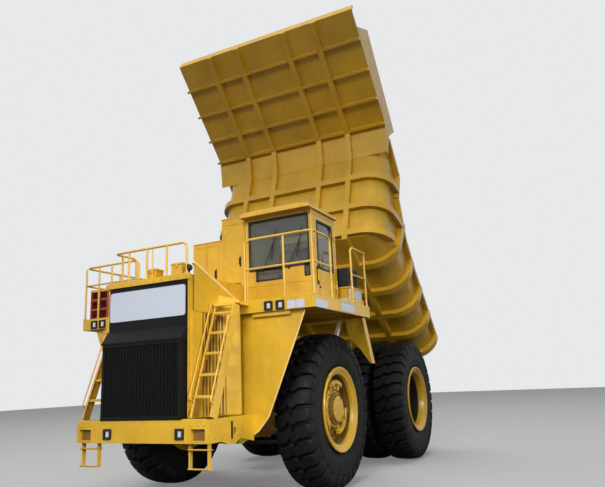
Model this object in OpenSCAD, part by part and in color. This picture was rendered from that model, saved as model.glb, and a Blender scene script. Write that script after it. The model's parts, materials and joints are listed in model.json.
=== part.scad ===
// Mining dump truck, electric drive, bed raised. Millimetres, +Z up, front faces -Y, left side is +X.
// Lengths along Y are counted from the front axle, and on_truck() moves them to the truck's own middle.

/* [Running gear] */
// Distance between the axles
wheelbase = 4070; // [3900:10:4300]
// Outer radius of every tyre at the lug tips
tyre_r = 1350; // [1250:10:1400]
// Width of one tyre at its sidewalls
tyre_w = 690; // [640:10:720]
// Outer radius of a rim flange
rim_r = 738; // [700:2:760]
// Side distance from the middle to the front rim's outer face
front_rim_x = 2040; // [1990:5:2060]
// Side distance from the middle to the rear rim's outer face
rear_rim_x = 2240; // [2200:5:2260]
// Side distance from the middle to a kingpin
kingpin_x = 1110; // [1090:5:1130]

/* [Chassis and deck] */
// Front face of the bumper, ahead of the front axle
bumper_y = -2935; // [-3000:5:-2900]
// Half width of the bumper
bumper_half = 1277; // [1200:1:1300]
// Top of the bumper
bumper_z = 1384; // [1300:1:1450]
// Half width of the deck
deck_half = 2477; // [2400:1:2500]
// Front edge of the deck
deck_front = -1806; // [-1900:2:-1750]
// Rear edge of the deck
deck_rear = 550; // [500:10:600]
// Top of the deck
deck_z = 3175; // [3100:5:3250]
// Depth of the deck's skirt
deck_skirt = 207; // [150:1:250]
// Front face of the radiator
radiator_y = -2814; // [-2900:2:-2750]
// Half width of the radiator and of the hood's front
hood_half = 783; // [700:1:850]
// Top of the hood
hood_z = 3550; // [3450:10:3650]

/* [Cab] */
// Inner side of the cab
cab_x0 = 850; // [800:10:900]
// Outer side of the cab
cab_x1 = 2190; // [2100:10:2240]
// Front of the cab
cab_front = -1200; // [-1300:10:-1150]
// Rear of the cab
cab_rear = -240; // [-300:10:-200]
// Top of the cab's walls
cab_top = 4740; // [4600:10:4760]

/* [Bed] */
// Angle by which the bed stands raised
bed_tilt = 41; // [0:1:41]
// Half width of the bed over its ribs
bed_half = 2410; // [2300:5:2420]
// Radius of the bed's long corners
bed_corner_r = 620; // [400:10:700]
// Depth of a rib
rib_depth = 130; // [80:5:160]
// Thickness of the bed's plates
bed_plate = 45; // [30:1:60]

/* [Hidden] */
$fn = 48;

// Where the front axle lies, so that the origin is under the middle of the truck's box
front_axle_y = -1438;
module on_truck() {
  translate([0, front_axle_y, 0])
    children();
}

// Paint and material colours
yellow = [0.93, 0.69, 0.13];
pale_yellow = [0.95, 0.78, 0.32];
black = [0.06, 0.06, 0.07];
dark = [0.16, 0.16, 0.17];
rubber = [0.09, 0.09, 0.10];
steel = [0.72, 0.73, 0.75];
red_brown = [0.45, 0.16, 0.12];
white = [0.85, 0.86, 0.88];
glass_tint = [0.45, 0.55, 0.60, 0.4];

// Lugs of a tyre: count in one row, half angle of a tip, groove depth, half width of the belt
lug_count = 32;
lug_tip = 3.3;
lug_depth = 75;
belt_half = 305;
// Sides of the polygon that a tyre's sidewalls and bore are cut to
side_count = 18;
// The tyre stands on corners of lugs that lie just beside its lowest point
wheel_z = tyre_r * cos(180 / lug_count - lug_tip);
rim_bore = 600;
// A tyre's bead stands so far in from its side, on a seat of this radius
bead_in = 60;
seat_r = 716;
front_tyre_x = front_rim_x - tyre_w / 2 - 5;
rear_tyre_gap = 80;
rear_outer_x = rear_rim_x - tyre_w / 2 - 5;
rear_inner_x = rear_outer_x - tyre_w - rear_tyre_gap;

// Both sides of something drawn on the left
module both_sides() {
  children();
  mirror([1, 0, 0])
    children();
}

// A box between two corners
module block(low, high) {
  translate(low)
    cube(high - low);
}

// A bar with square ends between two points, in a plane of constant X
module bar_yz(x, a, b, w, t) {
  d = b - a;
  translate([x - w / 2, a[0], a[1]])
    rotate([atan2(d[1], d[0]), 0, 0])
      translate([0, 0, -t / 2])
        cube([w, norm(d), t]);
}

// A plate cut from an outline in the YZ plane, between two X values
module plate_yz(x0, x1, outline) {
  translate([x0, 0, 0])
    rotate([90, 0, 90])
      linear_extrude(x1 - x0)
        polygon(outline);
}

// A plate cut from an outline in the XZ plane, between two Y values
module plate_xz(y0, y1, outline) {
  translate([0, y1, 0])
    rotate([90, 0, 0])
      linear_extrude(y1 - y0)
        polygon(outline);
}

// A round tube along a list of points, with a ball at each bend and flat ends
module pipe(points, r) {
  last = len(points) - 1;
  for (i = [0 : len(points) - 2]) {
    d = points[i + 1] - points[i];
    translate(points[i])
      rotate([0, acos(d[2] / norm(d)), atan2(d[1], d[0])])
        cylinder(r = r, h = norm(d), $fn = 16);
  }
  if (last > 1)
    for (i = [1 : last - 1])
      translate(points[i])
        sphere(r = r, $fn = 16);
}

// Frame rails, cross tubes, horse collar and the ears that carry the bed
rail_x0 = 330;
rail_x1 = 500;
hinge_y = 4400;
hinge_z = 2300;
hinge_pin_r = 60;
hoist_low_y = 1600;
hoist_low_z = 950;
hoist_x = 670;
hoist_pin_r = 45;
collar_x = 930;
rail_outline = [
  [-2480, 1050], [-2480, 1340], [-900, 1560], [2350, 1560], [3000, 2120], [3300, 2260],
  [4300, 2260], [4550, 2200], [4600, 1960], [3250, 1960], [2520, 1250], [2300, 1000],
  [-600, 960], [-1100, 1050]
];
module hinge_ear(x0, x1) {
  translate([x0, hinge_y, hinge_z])
    rotate([0, 90, 0])
      cylinder(r = 150, h = x1 - x0);
  plate_yz(x0, x1, [[hinge_y - 150, 2000], [hinge_y + 150, 2000], [hinge_y + 150, hinge_z],
    [hinge_y - 150, hinge_z]]);
}
module frame() {
  slot = 30;
  color(yellow) on_truck() {
    both_sides() {
      difference() {
        plate_yz(rail_x0, rail_x1, rail_outline);
        // slot between the ears, in which a lug of the bed turns
        block([rail_x0 + slot, hinge_y - 220, 2090], [rail_x1 - slot, hinge_y + 220, 2500]);
      }
      hinge_ear(rail_x0 - slot, rail_x0 + slot);
      hinge_ear(rail_x1 - slot, rail_x1 + slot);
      translate([rail_x0, hinge_y, hinge_z])
        rotate([0, 90, 0])
          cylinder(r = hinge_pin_r, h = rail_x1 - rail_x0);
      // horse collar leg beside the front strut, with the deck post on it
      block([rail_x1 - 10, -240, 1300], [700, 240, 2600]);
      block([690, -240, 2080], [collar_x, 240, 2560]);
      block([600, 100, 2480], [700, 400, deck_z - deck_skirt]);
      // front deck post
      block([420, -1560, 1400], [600, -1400, deck_z - deck_skirt]);
      // bracket and pin of the hoist
      block([rail_x1 - 10, hoist_low_y - 130, 860], [rail_x1 + 30, hoist_low_y + 130, 1250]);
      translate([rail_x1 + 20, hoist_low_y, hoist_low_z])
        rotate([0, 90, 0])
          cylinder(r = hoist_pin_r, h = 250);
    }
    for (y = [-2300, -1480, -600, 900, 2000])
      block([-rail_x0 - 10, y - 60, 1100], [rail_x0 + 10, y + 60, 1330]);
    for (y = [3400, 4540])
      block([-rail_x0 - 10, y - 60, 2000], [rail_x0 + 10, y + 60, 2180]);
    // cross tube of the horse collar
    block([-700, -200, 2330], [700, 200, 2600]);
  }
}

// Front bumper: a channel beam with side arms that run back to the frame
module front_bumper() {
  beam_low = 1058;
  color(yellow) on_truck() {
    difference() {
      union() {
        block([-bumper_half, bumper_y, beam_low], [bumper_half, bumper_y + 330, bumper_z]);
        both_sides() {
          plate_yz(bumper_half - 60, bumper_half, [[bumper_y + 320, beam_low], [-2480, 1010], [-2250, 1000],
            [-2120, 1080], [-2090, 1200], [-2090, bumper_z], [bumper_y + 320, bumper_z]]);
          block([rail_x1, -2500, 1090], [bumper_half - 50, -2400, 1340]);
          block([rail_x0, bumper_y + 300, 1090], [rail_x1 + 30, -2480, 1340]);
        }
      }
      // square recesses in the front face
      for (r = [[970, 1214], [-1214, -970]])
        block([r[0], bumper_y - 10, 1100], [r[1], bumper_y + 70, 1257]);
      // slot for a tow pin in each arm
      both_sides()
        translate([bumper_half - 70, -2290, 1180])
          rotate([0, 90, 0])
            cylinder(r = 55, h = 90);
    }
    // raised lip along the top edge, on each side of the screen
    block([-bumper_half + 40, bumper_y + 4, bumper_z - 2], [-hood_half - 20, bumper_y + 20, bumper_z + 12]);
    block([hood_half + 20, bumper_y + 4, bumper_z - 2], [bumper_half - 40, bumper_y + 20, bumper_z + 12]);
  }
}

// Radiator: sign panel above, sloping visor, and below it a screen box with upright slats
slat_pitch = 65;
screen_y = radiator_y - 131;
module radiator() {
  visor_z = 2751;
  visor_low = 2546;
  core_low = bumper_z;
  screen_half = 780;
  slat = 10;
  slat_count = floor((2 * screen_half - 120) / slat_pitch);
  color(black) on_truck() {
    // upper panel that carries the sign
    block([-hood_half, radiator_y, visor_z - 20], [hood_half, radiator_y + 120, hood_z - 44]);
    // sloping visor with closed ends
    plate_yz(-800, 800, [[radiator_y + 1, visor_z], [radiator_y + 1, visor_low - 6],
      [radiator_y - 146, visor_low - 6], [radiator_y - 146, visor_low + 20]]);
    // core behind the screen
    block([-hood_half, radiator_y, core_low], [hood_half, radiator_y + 420, visor_z]);
    // screen box: frame with a recess in which the slats stand
    difference() {
      block([-screen_half, screen_y, core_low], [screen_half, radiator_y + 10, visor_low]);
      block([-screen_half + 50, screen_y - 10, core_low + 60], [screen_half - 50, screen_y + 60, visor_low - 50]);
    }
    for (i = [1 : slat_count])
      block([-screen_half + 50 + i * slat_pitch - slat / 2, screen_y + 6, core_low + 50],
        [-screen_half + 50 + i * slat_pitch + slat / 2, screen_y + 70, visor_low - 40]);
  }
}

// Hood: side walls that bend out to the deck, with sloping top edges, and a flat top
hood_back_x = 1100;
module hood() {
  back = deck_front + 4;
  wall = 30;
  lip = 70;
  front = radiator_y + 424;
  color(yellow) on_truck() {
    both_sides() {
      // side wall from the radiator to the deck's front corner
      difference() {
        linear_extrude(hood_z)
          polygon([[hood_half, radiator_y + 40], [hood_half + 26, radiator_y], [hood_half + 42, -2060],
            [hood_back_x, deck_front - 26], [hood_back_x, back - 4], [hood_back_x - 60, back - 4],
            [hood_half + 10, -2030]]);
        block([0, radiator_y - 100, -10], [hood_back_x + 100, back + 10, bumper_z + 4]);
        plate_yz(0, hood_back_x + 100, [[radiator_y - 50, hood_z + 10], [radiator_y + 60, hood_z - 40],
          [deck_front + 10, deck_z + 10], [deck_front + 10, hood_z + 100], [radiator_y - 50, hood_z + 100]]);
      }
    }
    // top plate, front lip and rear wall
    block([-hood_half - 12, radiator_y - 30, hood_z - 40], [hood_half + 12, -1240, hood_z]);
    block([-hood_half - lip, radiator_y - 30, hood_z - 90], [hood_half + lip, radiator_y, hood_z - 10]);
    both_sides()
      block([hood_half + 2, radiator_y - 30, hood_z - 90], [hood_half + lip, radiator_y + 14, hood_z - 10]);
    both_sides()
      block([hood_half - wall, front, deck_z + 4], [hood_half + 12, -1240, hood_z - 30]);
    block([-hood_half, -1270, deck_z + 4], [hood_half, -1240, hood_z - 30]);
    // filler covers on the top
    for (c = [[-74, 186], [430, 220]])
      block([c[0], -2745, hood_z - 5], [c[0] + c[1], -2560, hood_z + c[1] - 20]);
    // upright ribs on each wall beside the ladder
    both_sides()
      for (y = [-2700 : 90 : -2080])
        block([hood_half + 20, y, bumper_z + 4], [hood_half + 52, y + 22, 2960]);
  }
}

// Engine and its generator as one plain mass between the rails
module engine_block() {
  color(dark) on_truck() {
    block([-460, -2260, 1565], [460, -1620, 2900]);
    block([-380, -1640, 1565], [380, -300, 2300]);
  }
}

// Deck plate with its skirt and cross ribs, and the lamp housings in the front skirt
module deck_side(rib_table) {
  plate = 30;
  low = deck_z - deck_skirt;
  union() {
    block([15, deck_front, deck_z - plate], [deck_half, deck_rear, deck_z]);
    block([hood_half + 320, deck_front, low], [deck_half, deck_front + 40, deck_z - 10]);
    block([deck_half - 40, deck_front, low], [deck_half, deck_rear, deck_z - 10]);
    block([15, deck_rear - 40, low], [deck_half, deck_rear, deck_z - 10]);
    for (y = rib_table)
      block([15, y, deck_z - 150], [deck_half - 20, y + 40, deck_z - 10]);
  }
}
module deck_left() {
  color(yellow) on_truck()
    deck_side([-1560, -960, -400, 150]);
}
module deck_right() {
  color(yellow) on_truck()
    mirror([1, 0, 0])
      deck_side([-1560, -960, -400, 150]);
}

// Fender panels under the deck ahead of the front tyres, and mudguards behind them
fender_y = -1700;
fender_outline = [
  [990, 2968], [2220, 2968], [2225, 2930], [2050, 2520], [1520, 1330], [1330, 1120], [1000, 930],
  [960, 930], [960, 1330], [990, 1500]
];
module fenders() {
  color(yellow) on_truck()
    both_sides() {
      // mudguard behind the front tyre, hung from the rear of the deck, cut away where a steered tyre swings
      intersection() {
        plate_yz(2030, 2388, [[380, 2968], [410, 2968], [790, 2140], [750, 2140]]);
        plate_xz(300, 900, [[2030, 2968], [2388, 2968], [2388, 2140], [2345, 2140], [2215, 2390], [2030, 2620]]);
      }
      plate_yz(2380, 2412, [[340, 2968], [450, 2968], [830, 2130], [730, 2130]]);
      plate_xz(fender_y, fender_y + 35, fender_outline);
      // stiffener along the seam, and the arm to the bumper
      block([1000, fender_y + 30, 1390], [1530, fender_y + 60, 1430]);
      plate_yz(1217, 1245, [[-2090, 1060], [fender_y + 5, 980], [fender_y + 5, 1384], [-2090, 1384]]);
      // hanger under the deck
      block([1300, fender_y - 60, 2900], [2000, fender_y + 5, 2968]);
    }
}

// Ladders that lean back from the bumper to the deck, with a step hung below the bumper
ladder_foot = [-2800, bumper_z];
ladder_head = [-2140, 3122];
rung_gap = 340;
// A leaning stile with level ends, so broad along the truck
module stile(x0, x1, broad) {
  plate_yz(x0, x1, [ladder_foot - [broad / 2, 0], ladder_foot + [broad / 2, 0],
    ladder_head + [broad / 2, 0], ladder_head - [broad / 2, 0]]);
}
bar_off = [-130, 50];
module ladders() {
  x_in = 850;
  x_out = 1270;
  d = ladder_head - ladder_foot;
  rungs = floor(norm(d) / rung_gap);
  color(pale_yellow) on_truck()
    both_sides() {
      stile(x_out - 30, x_out, 160);
      stile(x_in, x_in + 40, 75);
      for (i = [1 : rungs]) {
        p = ladder_foot + d * (i * rung_gap / norm(d));
        block([x_in + 5, p[0] - 55, p[1] - 15], [x_out - 5, p[0] + 75, p[1] + 15]);
        // gusset below the rung's inner end
        plate_yz(x_in + 20, x_in + 34, [[p[0] - 40, p[1] - 10], [p[0] + 65, p[1] - 10], [p[0] + 25, p[1] - 105]]);
      }
      // hand bars beside the stiles, each on two short arms
      for (b = [[x_in + 4, 240, 60], [x_out - 22, 180, 300]]) {
        low = ladder_foot + d * (b[1] / norm(d)) + bar_off;
        high = ladder_head - d * (b[2] / norm(d)) + bar_off;
        plate_yz(b[0], b[0] + 20, [low, low + [0, 32], high + [0, 32], high]);
        for (p = [low, high])
          plate_yz(b[0] + 1, b[0] + 19, [p + [0, 2], p - bar_off, p - bar_off + [0, 26], p + [0, 28]]);
      }
      // landing that joins the head to the deck, cut off along the hood's wall
      translate([0, 0, 3092])
        linear_extrude(24)
          polygon([[x_in + 6, -2190], [x_out - 6, -2190], [x_out - 6, deck_front], [hood_back_x + 2, deck_front],
            [hood_back_x + 2, deck_front - 30], [x_in + 6, -2042]]);
      // step below the bumper
      for (x = [x_in + 30, x_out - 60])
        block([x, bumper_y + 60, 700], [x + 30, bumper_y + 140, 1058]);
      for (z = [700, 960])
        block([x_in + 30, bumper_y + 40, z], [x_out - 30, bumper_y + 170, z + 25]);
    }
}

// Handrails: top rail about a metre above what they stand on, with a middle rail
rail_r = 20;
module handrail_front() {
  y = radiator_y + 40;
  top = 4060;
  x0 = -740;
  x1 = 760;
  color(pale_yellow) on_truck() {
    pipe([[x0, -2270, hood_z], [x0, -2270, top], [x0, y, top], [x1, y, top], [x1, y, hood_z]], rail_r);
    for (x = [-430, -45, 360])
      pipe([[x, y, hood_z], [x, y, top]], rail_r);
    pipe([[x0, -2600, hood_z], [x0, -2600, top]], rail_r);
  }
}
rail_side_x = deck_half - 22;
module handrail_left() {
  top = 4205;
  mid = 3700;
  base = deck_z;
  y = deck_front + 22;
  color(pale_yellow) on_truck() {
    // front and side run, round the corner
    pipe([[1190, y, base], [1190, y, top], [rail_side_x, y, top], [rail_side_x, -1105, top],
      [rail_side_x, -1105, base]], rail_r);
    pipe([[1190, y, mid], [rail_side_x, y, mid], [rail_side_x, -1105, mid]], rail_r);
    pipe([[1930, y, base], [1930, y, top]], rail_r);
    pipe([[rail_side_x, y, base], [rail_side_x, y, top]], rail_r);
    // rear run beside the back of the deck
    pipe([[rail_side_x, -200, base], [rail_side_x, -200, top], [rail_side_x, 500, top]], rail_r);
    pipe([[rail_side_x, 470, base], [rail_side_x, 470, top]], rail_r);
    pipe([[rail_side_x, -200, mid], [rail_side_x, 500, mid]], rail_r);
  }
}
module handrail_right() {
  top = 4180;
  mid = 3830;
  base = deck_z;
  y = deck_front + 22;
  x = -rail_side_x;
  color(pale_yellow) on_truck() {
    pipe([[-1130, y, base], [-1130, y, top], [x, y, top], [x, 500, top], [x, 500, base]], rail_r);
    pipe([[-1130, y, mid], [x, y, mid], [x, 500, mid]], rail_r);
    for (p = [-1800, -2120])
      pipe([[p, y, base], [p, y, top]], rail_r);
    for (p = [y, -900, -200])
      pipe([[x, p, base], [x, p, top]], rail_r);
  }
}

// Control cabinet behind the hood, its left part as tall as the cab
module control_cabinet() {
  front = -1200;
  low_top = 4450;
  proud = 15;
  color(yellow) on_truck() {
    block([-320, front, deck_z + 1], [340, -350, low_top]);
    block([330, front, deck_z + 1], [cab_x0 - 15, -300, 4840]);
    // doors stand a little proud of the front
    for (x = [[-296, -12], [4, 268]])
      block([x[0], front - proud, deck_z + 80], [x[1], front + 5, low_top - 50]);
    block([400, front - proud, deck_z + 80], [800, front + 5, 4740]);
    // lifting eyes on top
    for (x = [-250, 240])
      translate([x, -700, low_top - 5])
        rotate([0, 90, 0])
          cylinder(r = 50, h = 20);
  }
}

// Retarding grid box on the right of the deck: louvred cells under a plain top
module grid_box() {
  x0 = -2420;
  x1 = -1300;
  y0 = -1700;
  y1 = -700;
  top = 3745;
  cell_x = 224;
  cell_z = 185;
  color(red_brown) on_truck()
    difference() {
      block([x0, y0, deck_z + 1], [x1, y1, top]);
      // cells in the front and in the right side
      for (i = [0 : 4])
        for (k = [0 : 2]) {
          block([x0 + 24 + i * cell_x, y0 - 10, deck_z + 30 + k * cell_z],
            [x0 + 200 + i * cell_x, y0 + 120, deck_z + 170 + k * cell_z]);
          if (i < 4)
            block([x0 - 10, y0 + 50 + i * 240, deck_z + 30 + k * cell_z],
              [x0 + 120, y0 + 230 + i * 240, deck_z + 170 + k * cell_z]);
        }
    }
}

// Boxes on the deck behind the cab: a stack of two, and a small one at the deck's edge
module deck_boxes() {
  color(white) on_truck() {
    block([1700, -150, deck_z], [2385, 430, 3500]);
    block([1730, -130, 3495], [2370, 290, 3850]);
    block([1710, -160, 3480], [2395, -140, 3500]);
    block([2250, 60, deck_z], [2425, 425, 3290]);
    // clamps of the upper box
    for (y = [-60, 190])
      block([2365, y, 3560], [2385, y + 40, 3820]);
  }
}

// Cab shell: floor, lower panels and posts, hollow, with openings for every window and the door
cab_wall = 45;
cab_sill = 3790;
// Low panes below the windscreen, as steps in its lower edge
low_panes = [[1070, 1600], [2030, 2110]];
low_pane_z = 3600;
door_y0 = -1120;
door_y1 = -320;
// Hinges of the door: axis, radius, half length of the door's barrel, heights
door_axis = [cab_x1 + 20, door_y1];
door_barrel_r = 14;
door_barrel = 55;
door_hinges = [3480, 4440];
module cab_shell() {
  w = cab_wall;
  floor_z = deck_z + 1;
  color(yellow) on_truck()
    difference() {
      block([cab_x0, cab_front, floor_z], [cab_x1, cab_rear, cab_top]);
      block([cab_x0 + w, cab_front + w, floor_z + 90], [cab_x1 - w, cab_rear - w, cab_top + 10]);
      // windscreen and the small low pane under it
      block([cab_x0 + 80, cab_front - 10, cab_sill], [cab_x1 - 80, cab_front + w + 10, cab_top - 60]);
      for (x = low_panes)
        block([x[0], cab_front - 10, low_pane_z], [x[1], cab_front + w + 10, cab_sill + 10]);
      // rear window
      block([cab_x0 + 150, cab_rear - w - 10, cab_sill + 150], [cab_x1 - 150, cab_rear + 10, cab_top - 160]);
      // door opening in the left side
      block([cab_x1 - w - 10, door_y0, floor_z + 90], [cab_x1 + 10, door_y1, cab_top - 70]);
    }
  // fixed knuckles above and below each barrel of the door
  color(yellow) on_truck()
    for (z = door_hinges)
      for (low = [z - door_barrel - 46, z + door_barrel + 6]) {
        translate([door_axis[0], door_axis[1], low])
          cylinder(r = door_barrel_r, h = 40);
        block([cab_x1, door_axis[1] + 2, low], [door_axis[0], door_axis[1] + 40, low + 40]);
      }
}

// Cab roof: a crowned slab that overhangs the windscreen as a visor
module cab_roof() {
  color(pale_yellow) on_truck()
    plate_xz(cab_front - 190, cab_rear + 20, [[cab_x0 - 10, cab_top + 1], [cab_x1 + 40, cab_top + 1],
      [cab_x1 + 40, cab_top + 60], [cab_x1 - 150, cab_top + 95], [cab_x0 + 150, cab_top + 95],
      [cab_x0 - 10, cab_top + 60]]);
}

// Fixed glass of the cab
module cab_glass() {
  g = 8;
  y = cab_front + cab_wall / 2;
  color(glass_tint) on_truck() {
    union() {
      block([cab_x0 + 81, y, cab_sill + 1], [cab_x1 - 81, y + g, cab_top - 61]);
      for (x = low_panes)
        block([x[0] + 1, y, low_pane_z + 1], [min(x[1] - 1, cab_x1 - 81), y + g, cab_sill + 5]);
    }
    block([cab_x0 + 151, cab_rear - cab_wall / 2, cab_sill + 151],
      [cab_x1 - 151, cab_rear - cab_wall / 2 + g, cab_top - 161]);
  }
}

// Driver's seat, instrument panel and steering wheel
module cab_interior() {
  floor_z = deck_z + 92;
  x = 1720;
  color(dark) on_truck() {
    block([x - 140, -780, floor_z - 1], [x + 140, -460, floor_z + 280]);
    block([x - 250, -840, floor_z + 270], [x + 250, -400, floor_z + 400]);
    plate_yz(x - 230, x + 230, [[-440, floor_z + 390], [-360, floor_z + 390], [-300, floor_z + 1020],
      [-370, floor_z + 1020]]);
    block([x - 300, cab_front + 60, floor_z - 1], [x + 250, cab_front + 250, floor_z + 420]);
    translate([x, cab_front + 240, floor_z + 380])
      rotate([-55, 0, 0]) {
        cylinder(r = 25, h = 200);
        translate([0, 0, 190])
          cylinder(r = 215, h = 28);
      }
    block([1000, -800, floor_z - 1], [1350, -420, floor_z + 420]);
  }
}

// Left cab door, hinged at its rear edge, with its window opening and a handle
door_gap = 8;
door_window_z = cab_sill - 60;
module cab_door() {
  y0 = door_y0 + door_gap;
  y1 = door_y1 - door_gap;
  z0 = deck_z + 91 + door_gap;
  z1 = cab_top - 70 - door_gap;
  color(yellow) on_truck() {
    difference() {
      block([cab_x1 - cab_wall + 2, y0, z0], [cab_x1 + 2, y1, z1]);
      block([cab_x1 - cab_wall - 10, y0 + 90, door_window_z], [cab_x1 + 10, y1 - 90, z1 - 90]);
    }
    block([cab_x1 + 1, y0 + 40, 3500], [cab_x1 + 40, y0 + 70, 3700]);
    // hinge barrels with their straps
    for (z = door_hinges) {
      translate([door_axis[0], door_axis[1], z - door_barrel])
        cylinder(r = door_barrel_r, h = 2 * door_barrel);
      block([cab_x1 + 1, door_axis[1] - 80, z - door_barrel], [door_axis[0] - 4, door_axis[1], z + door_barrel]);
    }
  }
}
module door_glass() {
  z1 = cab_top - 70 - door_gap;
  color(glass_tint) on_truck()
    block([cab_x1 - 25, door_y0 + door_gap + 91, door_window_z + 1],
      [cab_x1 - 17, door_y1 - door_gap - 91, z1 - 91]);
}

// Headlamps on the bumper and in the deck's front skirt: side place, height, and the face they stand on
lamp_table = [
  [768, 1188, bumper_y], [-623, 1188, bumper_y], [1642, 3055, deck_front], [1858, 3052, deck_front],
  [-1975, 3060, deck_front], [-2180, 3060, deck_front]
];
module lamps() {
  color(dark) on_truck()
    for (l = lamp_table) {
      block([l[0] - 78, l[2] - 22, l[1] - 78], [l[0] + 78, l[2], l[1] + 78]);
      translate([l[0], l[2] - 21, l[1]])
        rotate([90, 0, 0])
          cylinder(r = 52, h = 10, $fn = 24);
    }
}

// Fuel tank on the left rail and hydraulic tank on the right rail, both with rounded lower edges
tank_y = [1690, 2560];
module side_tank(y0, y1, z0, z1, depth) {
  r = 160;
  x0 = 810;
  x1 = x0 + depth;
  // two bearers below the hoist carry it on the frame rail
  for (y = [y0 + 20, y1 - 120])
    block([rail_x1, y, z0], [x0 + 10, y + 90, z0 + 90]);
  translate([0, y1, 0])
    rotate([90, 0, 0])
      linear_extrude(y1 - y0)
        union() {
          translate([x0, z0 + r])
            square([depth, z1 - z0 - r]);
          translate([x0, z0])
            square([depth - r, z1 - z0]);
          translate([x1 - r, z0 + r])
            circle(r);
        }
}
module side_tanks() {
  color(yellow) on_truck()
    both_sides() {
      side_tank(tank_y[0], tank_y[1], 700, 1480, 560);
      translate([1090, 2200, 1470])
        cylinder(r = 60, h = 70);
    }
}

// Front struts: barrels clamped to the horse collar
strut_r = 130;
module front_struts() {
  color(pale_yellow) on_truck()
    both_sides() {
      translate([kingpin_x, 0, 1960])
        cylinder(r = strut_r, h = 760);
      block([collar_x + 1, -170, 2120], [kingpin_x - 60, 170, 2520]);
    }
}

// Knuckle: rod of the strut, spindle for the wheel, and a steering arm that points back
arm_y = 600;
spindle_r = 110;
module knuckle_body() {
  translate([kingpin_x, 0, 1560])
    cylinder(r = 95, h = 398);
  translate([kingpin_x, 0, 760])
    cylinder(r = 140, h = 820);
  translate([kingpin_x, 0, wheel_z])
    rotate([0, 90, 0])
      cylinder(r = 230, h = 200);
  translate([kingpin_x, 0, wheel_z])
    rotate([0, 90, 0])
      cylinder(r = spindle_r, h = 800);
  difference() {
    union() {
      block([kingpin_x - 55, 0, 770], [kingpin_x + 55, arm_y, 840]);
      translate([kingpin_x, arm_y, 770])
        cylinder(r = 75, h = 70);
    }
    translate([kingpin_x, arm_y, 700])
      cylinder(r = 30.5, h = 200);
  }
}
module knuckle_left() {
  color(yellow) on_truck()
    knuckle_body();
}
module knuckle_right() {
  color(yellow) on_truck()
    mirror([1, 0, 0])
      knuckle_body();
}

// Tie rod below the steering arms, with a pin up through each
module tie_rod() {
  z = 715;
  color(steel) on_truck() {
    translate([-kingpin_x, arm_y, z])
      rotate([0, 90, 0])
        cylinder(r = 35, h = 2 * kingpin_x);
    both_sides() {
      translate([kingpin_x, arm_y, z - 45])
        cylinder(r = 60, h = 90);
      translate([kingpin_x, arm_y, z + 40])
        cylinder(r = 30, h = 90);
    }
  }
}

// A tyre about the Z axis: lugs with V grooves that slant both ways from the middle, sidewalls and beads
lug_points = [
  for (i = [0 : lug_count - 1])
    for (p = [[tyre_r, -lug_tip], [tyre_r, lug_tip], [tyre_r - lug_depth, 180 / lug_count]])
      let (a = i * 360 / lug_count + p[1])
        [p[0] * cos(a), p[0] * sin(a)]
];
// A regular polygon whose flats lie at radius r
function ring_points(r) = [
  for (i = [0 : side_count - 1])
    let (a = (i + 0.5) * 360 / side_count)
      [r * cos(a), r * sin(a)] / cos(180 / side_count)
];
module taper(r0, r1, h) {
  linear_extrude(h, scale = r1 / r0)
    polygon(ring_points(r0));
}
module tyre() {
  h = tyre_w / 2;
  shoulder = 1200;
  wide = 1040;
  difference() {
    union() {
      for (m = [0, 1])
        mirror([0, 0, m]) {
          linear_extrude(belt_half, twist = 180 / lug_count, slices = 1)
            polygon(lug_points);
          translate([0, 0, belt_half - 10])
            taper(shoulder + (shoulder - wide) * 10 / (h - belt_half), wide, h - belt_half + 10);
        }
    }
    // hollow of each side down to its bead, and the bore
    for (m = [0, 1])
      mirror([0, 0, m])
        translate([0, 0, h - bead_in])
          taper(745, 745 + (wide - 40 - 745) * (bead_in + 5) / bead_in, bead_in + 5);
    translate([0, 0, -h])
      linear_extrude(2 * h)
        polygon(ring_points(seat_r + 1));
  }
}

// Turns a wheel drawn about Z onto an axle along X, its outer side to +X, a lug at the bottom
module on_axle(x, y) {
  translate([x, y, wheel_z])
    rotate([0, 90, 0])
      children();
}
module front_tyre_left() {
  color(rubber) on_truck()
    on_axle(front_tyre_x, 0)
      tyre();
}
module front_tyre_right() {
  color(rubber) on_truck()
    mirror([1, 0, 0])
      on_axle(front_tyre_x, 0)
        tyre();
}
module rear_tyres() {
  for (x = [rear_inner_x, rear_outer_x])
    on_axle(x, wheelbase)
      tyre();
}
module rear_tyres_left() {
  color(rubber) on_truck()
    rear_tyres();
}
module rear_tyres_right() {
  color(rubber) on_truck()
    mirror([1, 0, 0])
      rear_tyres();
}

// A flange is so wide that the bead of the tyre meets it, on the inner and on the outer side
flange_w = bead_in - 5;
outer_flange_w = bead_in + 5;

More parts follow.
